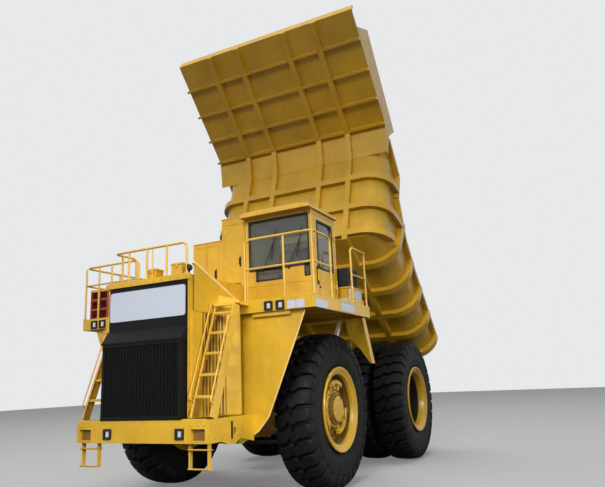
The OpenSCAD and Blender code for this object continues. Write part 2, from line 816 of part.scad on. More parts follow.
// Front rim: barrel with two flanges, a dished disc, and the hub with its cap, bored for the spindle
module front_rim() {
  x0 = front_tyre_x - tyre_w / 2 + 5;
  x1 = front_rim_x;
  disc = x1 - 260;
  translate([0, 0, wheel_z])
    rotate([0, 90, 0]) {
      rotate_extrude()
        polygon([[spindle_r + 0.5, disc - 160], [330, disc - 160], [330, disc - 40], [rim_bore - 40, disc - 40],
          [rim_bore - 40, x0], [rim_r, x0], [rim_r, x0 + flange_w], [seat_r, x0 + flange_w],
          [seat_r, x0 + 160], [640, x0 + 190], [640, x1 - 190], [seat_r, x1 - 160], [seat_r, x1 - outer_flange_w],
          [rim_r, x1 - outer_flange_w], [rim_r, x1], [rim_r - 35, x1], [rim_bore, x1 - 60], [rim_bore - 20, disc],
          [330, disc], [330, disc + 90], [210, disc + 110], [210, disc + 200], [spindle_r + 0.5, disc + 200]]);
      translate([0, 0, disc + 199])
        cylinder(r1 = 200, r2 = 150, h = 60);
      // curved brackets on the disc: start angle, sweep, inner and outer radius
      for (b = [[156, 51, 470, 505], [230, 85, 410, 480], [15, 65, 310, 390]])
        rotate([0, 0, b[0]])
          translate([0, 0, disc - 5])
            rotate_extrude(angle = b[1])
              translate([b[2], 0])
                square([b[3] - b[2], 85]);
    }
}
module front_rim_left() {
  color(yellow) on_truck()
    front_rim();
}
module front_rim_right() {
  color(yellow) on_truck()
    mirror([1, 0, 0])
      front_rim();
}

// Rear rim: one long barrel for the twin tyres, with its deep disc between them
motor_r = 455;
axle_tube_end = 1330;
module rear_rim() {
  x0 = rear_inner_x - tyre_w / 2 + 5;
  x1 = rear_rim_x;
  disc = axle_tube_end + 60;
  translate([0, wheelbase, wheel_z])
    rotate([0, 90, 0]) {
      rotate_extrude()
        polygon([[0, disc - 50], [500, disc - 50], [rim_bore - 40, disc - 80], [rim_bore - 40, x0],
          [rim_r, x0], [rim_r, x0 + flange_w], [seat_r, x0 + flange_w],
          [seat_r, x1 - outer_flange_w], [rim_r, x1 - outer_flange_w], [rim_r, x1],
          [rim_r - 35, x1], [rim_bore, x1 - 60], [rim_bore - 20, disc + 40], [420, disc + 40],
          [420, disc + 200], [280, disc + 230], [0, disc + 230]]);
    }
}
module rear_rims_left() {
  color(yellow) on_truck()
    rear_rim();
}
module rear_rims_right() {
  color(yellow) on_truck()
    mirror([1, 0, 0])
      rear_rim();
}

// Rear axle: centre box, wheel motor tubes, and the nose that reaches forward to its pivot
module rear_axle() {
  color(dark) on_truck() {
    translate([-axle_tube_end, wheelbase, wheel_z])
      rotate([0, 90, 0])
        cylinder(r = motor_r, h = 2 * axle_tube_end);
    translate([-620, wheelbase, wheel_z])
      rotate([0, 90, 0])
        cylinder(r = 540, h = 1240);
    plate_yz(-250, 250, [[wheelbase - 400, 1000], [wheelbase - 400, 1700], [2520, 1180], [2520, 1020]]);
    translate([-270, 2480, 1120])
      rotate([0, 90, 0])
        cylinder(r = 130, h = 540);
    // brackets for the rear struts
    both_sides()
      block([180, wheelbase + 350, 1150], [rail_x0 - 10, wheelbase + 760, 1300]);
  }
}

// Rear struts between the axle's brackets and the frame's rear beam
module rear_struts() {
  color(pale_yellow) on_truck()
    both_sides() {
      translate([250, wheelbase + 640, 1301])
        cylinder(r = 60, h = 400);
      translate([250, wheelbase + 640, 1600])
        cylinder(r = 95, h = 560);
      block([190, 4601, 2000], [310, wheelbase + 640, 2140]);
    }
}

// The bed is drawn lowered, then raised about its hinge by bed_tilt
module raised() {
  translate([0, hinge_y, hinge_z])
    rotate([-bed_tilt, 0, 0])
      translate([0, -hinge_y, -hinge_z])
        children();
}

// Side outline of the bed over its ribs: toe, tail, rail, shoulder and the neck under the canopy
toe = [860, 2730];
tail_low = [5020, 2900];
tail_top = [5130, 3610];
neck = [-100, 4810];
brow = [-520, 5230];
canopy_tip = [-3219, 5592];
rail_line = [tail_top, [3920, 3720], [2900, 3790], [2000, 3960], [1110, 4470], [860, 5090], [-160, 5340]];
wall_dir = (neck - toe) / norm(neck - toe);
floor_dir = (tail_low - toe) / norm(tail_low - toe);

// Outline of the tub in the YZ plane, moved inwards by an inset from floor and front wall
// A cutter goes over the open top and tail by some length
function tub_outline(inset, over) =
  let (
    wall_in = [wall_dir[1], -wall_dir[0]] * inset,
    floor_in = [-floor_dir[1], floor_dir[0]] * inset,
    turn = wall_dir[0] * floor_dir[1] - wall_dir[1] * floor_dir[0],
    corner = toe + (wall_dir + floor_dir) * (inset / abs(turn))
  )
  over > 0
    ? concat([corner, tail_low + floor_in + floor_dir * over], [for (p = rail_line) p + [over, over]],
        [brow + [-300, 300], [brow[0] - 300, wall_end(inset)[1]], wall_end(inset)])
    : concat([corner, tail_low + floor_in], rail_line, [neck + wall_in]);
// Where the inner face of the front wall ends
function wall_end(inset) = neck + [wall_dir[1], -wall_dir[0]] * inset + wall_dir * 100;

// Section with rounded lower corners, for a tub that runs along its own Y
module u_section(half, low, high, r) {
  union() {
    translate([-half, low + r])
      square([2 * half, high - low - r]);
    translate([-half + r, low])
      square([2 * (half - r), high - low]);
    for (s = [-1, 1])
      translate([s * (half - r), low + r])
        intersection() {
          circle(r);
          translate([s > 0 ? 0 : -r, -r])
            square(r);
        }
  }
}

// Solid tub, inset from the outside of the ribs on every side
// By so much smaller is the round between the front wall and a side
wall_round = 20;
module tub_solid(inset, over) {
  half = bed_half - inset;
  r = bed_corner_r - inset;
  floor_angle = atan2(floor_dir[1], floor_dir[0]);
  wall_angle = atan2(wall_dir[1], wall_dir[0]);
  intersection() {
    plate_yz(-half, half, tub_outline(inset, over));
    // rounds between the floor and the sides
    translate([0, toe[0], toe[1]])
      rotate([90 + floor_angle, 0, 0])
        translate([0, 0, -6000])
          linear_extrude(8000)
            u_section(half, inset, 5000, r);
    // rounds between the front wall and the sides
    translate([0, toe[0], toe[1]])
      rotate([wall_angle, 0, 0])
        rotate([90, 0, 0])
          translate([0, 0, -4500])
            mirror([0, 1, 0])
              linear_extrude(7000)
                u_section(half, inset, 7000, r - wall_round);
  }
}

// Shell of the tub, open at the top and at the tail
module bed_shell() {
  color(yellow) on_truck() raised()
    difference() {
      tub_solid(rib_depth, 0);
      tub_solid(rib_depth + bed_plate, 60);
    }
}

// Ribs that wrap the tub, as rows of [place, length of the side arms]
// Front wall ribs are placed by distance up the wall, floor ribs by distance back from the toe
wall_ribs = [[110, 650], [800, 1400], [1600, 940]];
floor_ribs = [[830, 1330], [1700, 1040], [2500, 930], [3300, 840], [4080, 720]];
rib_w = 150;
long_ribs = [-1440, -654, 654, 1440];
module u_ring(arm, inner_r) {
  difference() {
    u_section(bed_half, 0, arm, bed_corner_r);
    u_section(bed_half - rib_depth, rib_depth, arm + 10, inner_r);
  }
}
module long_rib(x) {
  wall_in = [wall_dir[1], -wall_dir[0]] * rib_depth;
  floor_in = [-floor_dir[1], floor_dir[0]] * rib_depth;
  turn = wall_dir[0] * floor_dir[1] - wall_dir[1] * floor_dir[0];
  plate_yz(x - 65, x + 65, [toe, tail_low, tail_low + floor_in,
    toe + (wall_dir + floor_dir) * (rib_depth / abs(turn)), neck + wall_in, neck]);
}
module bed_ribs() {
  color(yellow) on_truck() raised() {
    for (rib = wall_ribs)
      translate([0, toe[0], toe[1]])
        rotate([atan2(wall_dir[1], wall_dir[0]) + 90, 0, 0])
          translate([0, 0, -rib[0] - rib_w])
            mirror([0, 1, 0])
              linear_extrude(rib_w)
                u_ring(rib[1], bed_corner_r - rib_depth - wall_round);
    for (rib = floor_ribs)
      translate([0, toe[0], toe[1]])
        rotate([90 + atan2(floor_dir[1], floor_dir[0]), 0, 0])
          translate([0, 0, -rib[0] - rib_w])
            linear_extrude(rib_w)
              u_ring(rib[1], bed_corner_r - rib_depth);
    for (x = long_ribs)
      long_rib(x);
    both_sides() {
      // rail along the top of the side
      for (i = [0 : len(rail_line) - 2])
        bar_yz(bed_half - rib_depth + 57, rail_line[i],
          i < len(rail_line) - 2 ? rail_line[i + 1] : rail_line[i] * 0.07 + rail_line[i + 1] * 0.93, 106, 90);
    }
  }
}

// Lugs below the bed: the hinge lug turns on the frame's pin, and two ears hold the hoist rod's eye
// Height just below the ribs' underside at some place along the truck
lug_gap = 0.2;
function floor_z(y) = toe[1] + (y - toe[0]) * floor_dir[1] / floor_dir[0] - lug_gap;
module bed_pivots() {
  x0 = rail_x0 + 45;
  x1 = rail_x1 - 45;
  eye = 90;
  color(yellow) on_truck() raised()
    both_sides() {
      difference() {
        union() {
          translate([x0, hinge_y, hinge_z])
            rotate([0, 90, 0])
              cylinder(r = 130, h = x1 - x0);
          plate_yz(x0, x1, [[hinge_y - 130, hinge_z], [hinge_y + 130, hinge_z],
            [hinge_y + 260, floor_z(hinge_y + 260)], [hinge_y - 260, floor_z(hinge_y - 260)]]);
        }
        translate([0, hinge_y, hinge_z])
          rotate([0, 90, 0])
            cylinder(r = hinge_pin_r + 0.5, h = 700);
      }
      for (x = [hoist_x - 110, hoist_x + 80])
        plate_yz(x, x + 30, [hoist_top + [-60, -eye], hoist_top + [60, -eye],
          [hoist_top[0] + 200, floor_z(hoist_top[0] + 200)], [hoist_top[0] - 200, floor_z(hoist_top[0] - 200)]]);
    }
}

// Canopy over the cab: plate, front lip, side boards and the ribs below it
canopy_ribs = [625, 1330, 2035, 2665];
canopy_rib_w = 50;
canopy_lip = 310;
module bed_canopy() {
  d = (brow - canopy_tip) / norm(brow - canopy_tip);
  up = [-d[1], d[0]];
  under = rib_depth;
  half = bed_half - 10;
  p0 = canopy_tip + up * under;
  p1 = brow + up * under;
  // the tub's front line, from the top of its wall to the end of its rail
  seam = neck + [wall_dir[1], -wall_dir[0]] * rib_depth;
  rail_end = rail_line[len(rail_line) - 1];
  seam_low = seam + (rail_end - seam) * 0.04;
  seam_high = seam + (rail_end - seam) * 0.23;
  color(yellow) on_truck() raised() {
    // plate, with the neck that bends down to the front wall
    plate_yz(-half, half, [p0, p1, seam_low, seam_high, p1 + up * bed_plate + [30, 10], p0 + up * bed_plate]);
    plate_yz(-half, half, [p0, canopy_tip + up * canopy_lip + [-60, 0], canopy_tip + up * canopy_lip + [-15, 0],
      p0 + d * 60]);
    both_sides()
      plate_yz(half - 40, half, [p0 + d * 390, canopy_tip + [749, 818], [-10, 5820], rail_end, seam_low, p1]);
    // ribs under the plate, across and along
    for (s = canopy_ribs)
      plate_yz(-half, half, [canopy_tip + d * s, canopy_tip + d * (s + canopy_rib_w), p0 + d * (s + canopy_rib_w),
        p0 + d * s]);
    for (x = long_ribs)
      plate_yz(x - 65, x + 65, [canopy_tip, brow, neck, seam, seam_low, p1, p0]);
  }
}

// Hoist cylinders: the barrel swings on the frame's pin, the rod reaches the bed's bracket
hoist_top = [2900, 2560];
function turned(p) = [
  hinge_y + (p[0] - hinge_y) * cos(bed_tilt) + (p[1] - hinge_z) * sin(bed_tilt),
  hinge_z - (p[0] - hinge_y) * sin(bed_tilt) + (p[1] - hinge_z) * cos(bed_tilt)
];
hoist_low = [hoist_low_y, hoist_low_z];
hoist_high = turned(hoist_top);
hoist_len = norm(hoist_high - hoist_low);
hoist_angle = atan2(hoist_high[1] - hoist_low[1], hoist_high[0] - hoist_low[0]);
barrel_len = 1560;
module along_hoist(x) {
  translate([x, hoist_low[0], hoist_low[1]])
    rotate([hoist_angle - 90, 0, 0])
      children();
}
module hoist_barrel(x) {
  color(yellow) on_truck()
    along_hoist(x)
      difference() {
        union() {
          translate([0, 0, 90])
            cylinder(r = 120, h = barrel_len - 90);
          rotate([0, 90, 0])
            translate([0, 0, -60])
              cylinder(r = 110, h = 120);
        }
        translate([0, 0, 200])
          cylinder(r = 82, h = barrel_len);
        rotate([0, 90, 0])
          translate([0, 0, -100])
            cylinder(r = hoist_pin_r + 0.5, h = 200);
      }
}
module hoist_rod(x) {
  color(steel) on_truck()
    along_hoist(x) {
      translate([0, 0, hoist_len - 1750])
        cylinder(r = 80, h = 1680);
      difference() {
        translate([-60, 0, hoist_len])
          rotate([0, 90, 0])
            cylinder(r = 105, h = 120);
        translate([-100, 0, hoist_len])
          rotate([0, 90, 0])
            cylinder(r = hoist_pin_r + 15, h = 200);
      }
    }
}
module hoist_barrel_left() {
  hoist_barrel(hoist_x);
}
module hoist_barrel_right() {
  hoist_barrel(-hoist_x);
}
module hoist_rod_left() {
  hoist_rod(hoist_x);
}
module hoist_rod_right() {
  hoist_rod(-hoist_x);
}

frame();
front_bumper();
radiator();
hood();
engine_block();
deck_left();
deck_right();
fenders();
ladders();
handrail_front();
handrail_left();
handrail_right();
control_cabinet();
grid_box();
deck_boxes();
cab_shell();
cab_roof();
cab_glass();
cab_interior();
cab_door();
door_glass();
lamps();
side_tanks();
front_struts();
knuckle_left();
knuckle_right();
tie_rod();
front_tyre_left();
front_tyre_right();
front_rim_left();
front_rim_right();
rear_axle();
rear_struts();
rear_tyres_left();
rear_tyres_right();
rear_rims_left();
rear_rims_right();
bed_shell();
bed_ribs();
bed_pivots();
bed_canopy();
hoist_barrel_left();
hoist_barrel_right();
hoist_rod_left();
hoist_rod_right();
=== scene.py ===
import json
from itertools import product
from math import atan2, cos, degrees, hypot, pi, radians, sin, tan

import bmesh
import bpy
from mathutils import Matrix, Vector


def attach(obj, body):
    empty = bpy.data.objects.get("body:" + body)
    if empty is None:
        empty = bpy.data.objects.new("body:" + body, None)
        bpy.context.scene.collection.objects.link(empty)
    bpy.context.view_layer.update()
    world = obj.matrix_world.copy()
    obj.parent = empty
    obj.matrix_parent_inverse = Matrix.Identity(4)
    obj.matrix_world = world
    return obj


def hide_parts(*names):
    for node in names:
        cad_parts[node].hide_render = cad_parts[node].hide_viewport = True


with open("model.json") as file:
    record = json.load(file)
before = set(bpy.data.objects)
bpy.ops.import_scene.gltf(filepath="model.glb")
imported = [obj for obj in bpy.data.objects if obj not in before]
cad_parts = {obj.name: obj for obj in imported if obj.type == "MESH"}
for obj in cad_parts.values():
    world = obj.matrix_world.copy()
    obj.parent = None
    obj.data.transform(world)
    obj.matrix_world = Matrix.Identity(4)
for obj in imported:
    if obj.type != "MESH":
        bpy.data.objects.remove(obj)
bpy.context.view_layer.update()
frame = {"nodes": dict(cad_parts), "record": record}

# Driving sizes, in metres, as in the part. Each piece's Y counts from the front axle, and put() moves it.
FRONT_AXLE_Y = -1.438
WHEELBASE = 4.07
KINGPIN_X = 1.11
UNIT = Matrix.Identity(4)
MIRROR = (UNIT, Matrix.Diagonal((-1, 1, 1, 1)))
SIDES = ((1, "l", "left"), (-1, "r", "right"))
FRONT, OUT, UP = (0, -1, 0), (1, 0, 0), (0, 0, 1)

# Camera, fitted to the photo: place, turn in degrees, and the photo's frame
IMAGE_W = 605
IMAGE_H = 487
CAMERA_PLACE = (6.385, -9.923 + FRONT_AXLE_Y, 1.838)
CAMERA_YAW = 26.7016
CAMERA_PITCH = 13.475
CAMERA_ROLL = -2.5016
FOCAL_PX = 584.87
SENSOR_W = 36.0
AXIS_ROW = 242.0


def at(x, y, z, turn=0.0, axis="X"):
    """A place, with a turn in degrees about one axis."""
    return Matrix.Translation((x, y, z)) @ Matrix.Rotation(radians(turn), 4, axis)


def add_object(name, data):
    obj = bpy.data.objects.new(name, data)
    bpy.context.scene.collection.objects.link(obj)
    return obj


data = bpy.data.cameras.new("camera")
data.sensor_fit = "HORIZONTAL"
data.sensor_width = SENSOR_W
data.lens = FOCAL_PX * SENSOR_W / IMAGE_W
data.shift_y = (AXIS_ROW - IMAGE_H / 2) / IMAGE_W
data.clip_end = 200.0
cam = add_object("camera", data)
level = at(*CAMERA_PLACE, CAMERA_YAW, "Z") @ at(0, 0, 0, 90 + CAMERA_PITCH)
cam.matrix_world = level @ at(0, 0, 0, CAMERA_ROLL, "Z")
bpy.context.scene.camera = cam

# Materials
# Faces that look down are darkened: painted shade of the undersides, partly grime
UNDERSIDE_SHADE_AND_GRIME = 0.5
TOP_DUST = (0.42, 0.38, 0.31)
LOW_SHADE_AND_DIRT = (0.035, 0.026, 0.014)


def feed(node, inputs):
    """Fills a node's inputs: links a socket, and sets a number or a colour on the input itself."""
    for key, value in inputs.items():
        if isinstance(value, bpy.types.NodeSocket):
            node.id_data.links.new(value, node.inputs[key])
        else:
            node.inputs[key].default_value = (*value, 1.0) if isinstance(value, tuple) else value
    return node


def add_node(tree, kind, inputs):
    return feed(tree.nodes.new("ShaderNode" + kind), inputs)


def new_material(name):
    mat = bpy.data.materials.new(name)
    mat.use_nodes = True
    return mat, mat.node_tree, mat.node_tree.nodes["Principled BSDF"]


def noise(tree, scale, detail=4.0, rough=0.55):
    coords = tree.nodes.new("ShaderNodeTexCoord").outputs["Object"]
    inputs = {"Scale": scale, "Detail": detail, "Roughness": rough, "Vector": coords}
    return add_node(tree, "TexNoise", inputs).outputs["Fac"]


def ramp(tree, source, *stops):
    """A colour ramp between two stops, each a place and a colour or a grey."""
    node = add_node(tree, "ValToRGB", {"Fac": source})
    for element, (place, colour) in zip(node.color_ramp.elements, stops):
        element.position = place
        element.color = (*colour, 1.0) if isinstance(colour, tuple) else (colour, colour, colour, 1.0)
    return node.outputs["Color"]


def mix_colour(tree, factor, a, b, mode="MIX"):
    node = tree.nodes.new("ShaderNodeMix")
    node.data_type = "RGBA"
    node.blend_type = mode
    return feed(node, {0: factor, 6: a, 7: b}).outputs[2]


def bump(tree, height, strength, distance, edge=0.0):
    """A bump, on top of edges softened to a radius."""
    inputs = {"Strength": strength, "Distance": distance, "Height": height}
    if edge:
        bevel = add_node(tree, "Bevel", {"Radius": edge})
        bevel.samples = 4
        inputs["Normal"] = bevel.outputs["Normal"]
    return add_node(tree, "Bump", inputs).outputs["Normal"]


def scaled(colour, factor):
    return tuple(c * factor for c in colour)


def paint(name, colour, rough=0.36, edge=0.006, peel=0.05, dust=0.04, mottle=1.0, gloss=0.5):
    """Sprayed paint: slow tone changes, orange peel, softened edges, dust on top, painted shade and grime
    below.
    """
    mat, tree, shader = new_material(name)
    tone = ramp(tree, noise(tree, 1.3, 5.0), (0.35, scaled(colour, 1 - 0.13 * mottle)),
                (0.65, scaled(colour, 1 + 0.06 * mottle)))
    stain = ramp(tree, noise(tree, 9.0, 6.0, 0.7), (0.42, (0.8, 0.78, 0.74)), (0.62, 1.0))
    normal = tree.nodes.new("ShaderNodeTexCoord").outputs["Normal"]
    height = add_node(tree, "SeparateXYZ", {0: normal}).outputs["Z"]
    facing_up = ramp(tree, height, (0.8, 0), (1.0, dust))
    # undersides darken towards dark brown: painted shade, partly grime
    facing_down = add_node(tree, "MapRange", {"Value": height, "From Min": -0.38, "From Max": -1.0,
                                              "To Max": UNDERSIDE_SHADE_AND_GRIME * mottle})
    clean = mix_colour(tree, 0.35 * mottle, tone, stain, "MULTIPLY")
    dusty = mix_colour(tree, facing_up, clean, TOP_DUST)
    feed(shader, {
        "Base Color": mix_colour(tree, facing_down.outputs["Result"], dusty, LOW_SHADE_AND_DIRT),
        "Roughness": ramp(tree, noise(tree, 5.0), (0.3, rough - 0.06), (0.7, rough + 0.1)),
        "Normal": bump(tree, noise(tree, 160.0, 2.0), peel, 0.002, edge),
        "Specular IOR Level": gloss, "Coat Weight": 0.5 * gloss, "Coat Roughness": 0.16
    })
    return mat


def rubber(name):
    mat, tree, shader = new_material(name)
    feed(shader, {
        "Base Color": ramp(tree, noise(tree, 3.0, 6.0, 0.65), (0.35, (0.002, 0.002, 0.0023)),
                           (0.7, (0.0066, 0.0063, 0.006))),
        "Roughness": ramp(tree, noise(tree, 14.0, 5.0), (0.3, 0.5), (0.7, 0.72)),
        "Normal": bump(tree, noise(tree, 60.0, 6.0, 0.7), 0.25, 0.004, 0.008),
        "Specular IOR Level": 0.22
    })
    return mat


def metal(name, colour, rough=0.3):
    mat, tree, shader = new_material(name)
    feed(shader, {
        "Base Color": ramp(tree, noise(tree, 6.0), (0.3, scaled(colour, 0.8)), (0.7, colour)),
        "Roughness": ramp(tree, noise(tree, 30.0), (0.3, rough * 0.8), (0.7, rough * 1.3)),
        "Metallic": 1.0
    })
    return mat


def plastic(name, colour, rough=0.6):
    mat, tree, shader = new_material(name)
    feed(shader, {
        "Base Color": ramp(tree, noise(tree, 8.0), (0.3, scaled(colour, 0.75)), (0.7, colour)),
        "Normal": bump(tree, noise(tree, 220.0, 2.0), 0.2, 0.001),
        "Roughness": rough, "Specular IOR Level": 0.3
    })
    return mat


def glass(name, colour, rough=0.03):
    mat, tree, shader = new_material(name)
    feed(shader, {"Base Color": colour, "Roughness": rough, "IOR": 1.45, "Transmission Weight": 0.92})
    return mat


M = {
    "body_paint": paint("yellow_paint", (0.67, 0.388, 0.018)),
    "rail_paint": paint("rail_paint", (0.68, 0.41, 0.045), edge=0.003),
    "black_paint": paint("black_paint", (0.0034, 0.0034, 0.0042), rough=0.5, dust=0.01, gloss=0.16),
    "red_paint": paint("red_brown_paint", (0.36, 0.06, 0.03), rough=0.55, gloss=0.3),
    "dark_iron": paint("dark_iron", (0.03, 0.03, 0.032), rough=0.5),
    "window_glass": glass("window_glass", (0.5, 0.56, 0.57)),
    "dark_plastic": plastic("dark_plastic", (0.018, 0.018, 0.02)),
    "lamp_glass": glass("lamp_glass", (0.9, 0.9, 0.92), 0.08),
    "tyre_rubber": rubber("tyre_rubber"),
    "chrome_rod": metal("chrome_rod", (0.72, 0.73, 0.75), 0.14),
    "white_paint": paint("white_paint", (0.66, 0.67, 0.7), rough=0.42, edge=0.004, dust=0.05)
}
# Brown used as painted shade, on sheets behind the ladders and inside the bumper's pockets
SHADE_BROWN = paint("painted_shade_brown", (0.2, 0.105, 0.016), rough=0.55, edge=0.002)
SEAT_CLOTH = plastic("seat_cloth", (0.035, 0.035, 0.04), 0.92)
SIGN_WHITE = paint("sign_white", (0.5, 0.54, 0.61), rough=0.45, edge=0.002, peel=0.01, dust=0.0, mottle=0.12,
                   gloss=0.3)
LAMP_WHITE = paint("lamp_white", (0.86, 0.86, 0.88), rough=0.2, edge=0.001, peel=0.0, dust=0.0, mottle=0.0)
CORE_BLACK = plastic("core_black", (0.0022, 0.0022, 0.0027), 0.9)
# Pale yellow for edges that catch the light: a painted highlight
EDGE_HIGHLIGHT = paint("painted_edge_highlight", (0.8, 0.57, 0.2), edge=0.002, mottle=0.4)
RIM_SHADE = paint("rim_shade", (0.21, 0.115, 0.014), rough=0.5, gloss=0.3)
BARREL_DARK = plastic("barrel_dark", (0.02, 0.016, 0.01), 0.6)
for sub in frame["record"]["subparts"]:
    node = frame["nodes"][sub["node"]]
    node.data.materials.clear()
    node.data.materials.append(M[sub["material_slot"]])
    for face in node.data.polygons:
        face.material_index = 0


# Places, outlines and meshes
def front_at(y, x=0.0, z=0.0):
    """Puts a flat outline's X along X and its Y up, its extrusion coming out towards the front."""
    return at(x, y, z, 90)


def left_at(x):
    """Puts a flat outline's X along Y and its Y up, its extrusion coming out to the left side."""
    return at(x, 0, 0, 90, "Z") @ at(0, 0, 0, 90)


def pointing(place, direction, axis="Z", up="Y"):
    """A place with one axis turned along a direction."""
    return Matrix.Translation(place) @ Vector(direction).to_track_quat(axis, up).to_matrix().to_4x4()


# Turns a ring of bolts, which is built about X, to stand about Z
UPRIGHT = Matrix(((0, 1, 0, 0), (0, 0, 1, 0), (1, 0, 0, 0), (0, 0, 0, 1)))


def arc(start, end, steps):
    """Angles from start to end, both given in degrees, as radians."""
    return [radians(start + (end - start) * k / steps) for k in range(steps + 1)]


def circle(radius, count, start=0.0):
    return [(radius * cos(a), radius * sin(a)) for a in arc(start, start + 360, count)[:-1]]


def rounded(x0, x1, y0, y1, r):
    """Outline of a rectangle with rounded corners."""
    out = []
    for cx, cy, a in ((x1 - r, y1 - r, 0), (x0 + r, y1 - r, 90), (x0 + r, y0 + r, 180), (x1 - r, y0 + r, 270)):
        out += [(cx + r * cos(t), cy + r * sin(t)) for t in arc(a, a + 90, 5)]
    return out


def bent(points, radius, steps=6):
    """The points of a path, with its corners rounded."""
    path = [points[0]]
    for a, b, c in zip(points, points[1:], points[2:]):
        u, v = (a - b).normalized(), (c - b).normalized()
        angle = u.angle(v)
        if angle > 3.1:
            path.append(b)
            continue
        cut = min(radius / tan(angle / 2), 0.48 * (a - b).length, 0.48 * (c - b).length)
        centre = b + (u + v).normalized() * (cut * tan(angle / 2) / sin(angle / 2))
        first, second = b + u * cut - centre, b + v * cut - centre
        turn = pi - angle
        for k in range(steps + 1):
            t = k / steps
            path.append(centre + (sin((1 - t) * turn) * first + sin(t * turn) * second) / sin(turn))
    path.append(points[-1])
    return path


# Points of a chamfered box: a corner's signs, and the axis along which the point has the full size
BOX_POINTS = [(s, k) for s in product((-1, 1), repeat=3) for k in range(3)]


def box_faces(edge=0.25):
    """The 26 faces of a chamfered box, each with its points going round its own direction."""
    points = [Vector([s[i] * (1 if i == k else 1 - edge) for i in range(3)]) for s, k in BOX_POINTS]
    faces = []
    for way in product((-1, 0, 1), repeat=3):
        face = [i for i, (s, k) in enumerate(BOX_POINTS)
                if way[k] and all(a in (0, b) for a, b in zip(way, s))]
        if face:
            middle = sum((points[i] for i in face), Vector()) / len(face)
            u = points[face[0]] - middle
            v = Vector(way).cross(u)
            arms = {i: points[i] - middle for i in face}
            faces.append(sorted(face, key=lambda i: atan2(arms[i].dot(v), arms[i].dot(u))))
    return faces


BOX_FACES = box_faces()
SHARP_ANGLE = 32.0


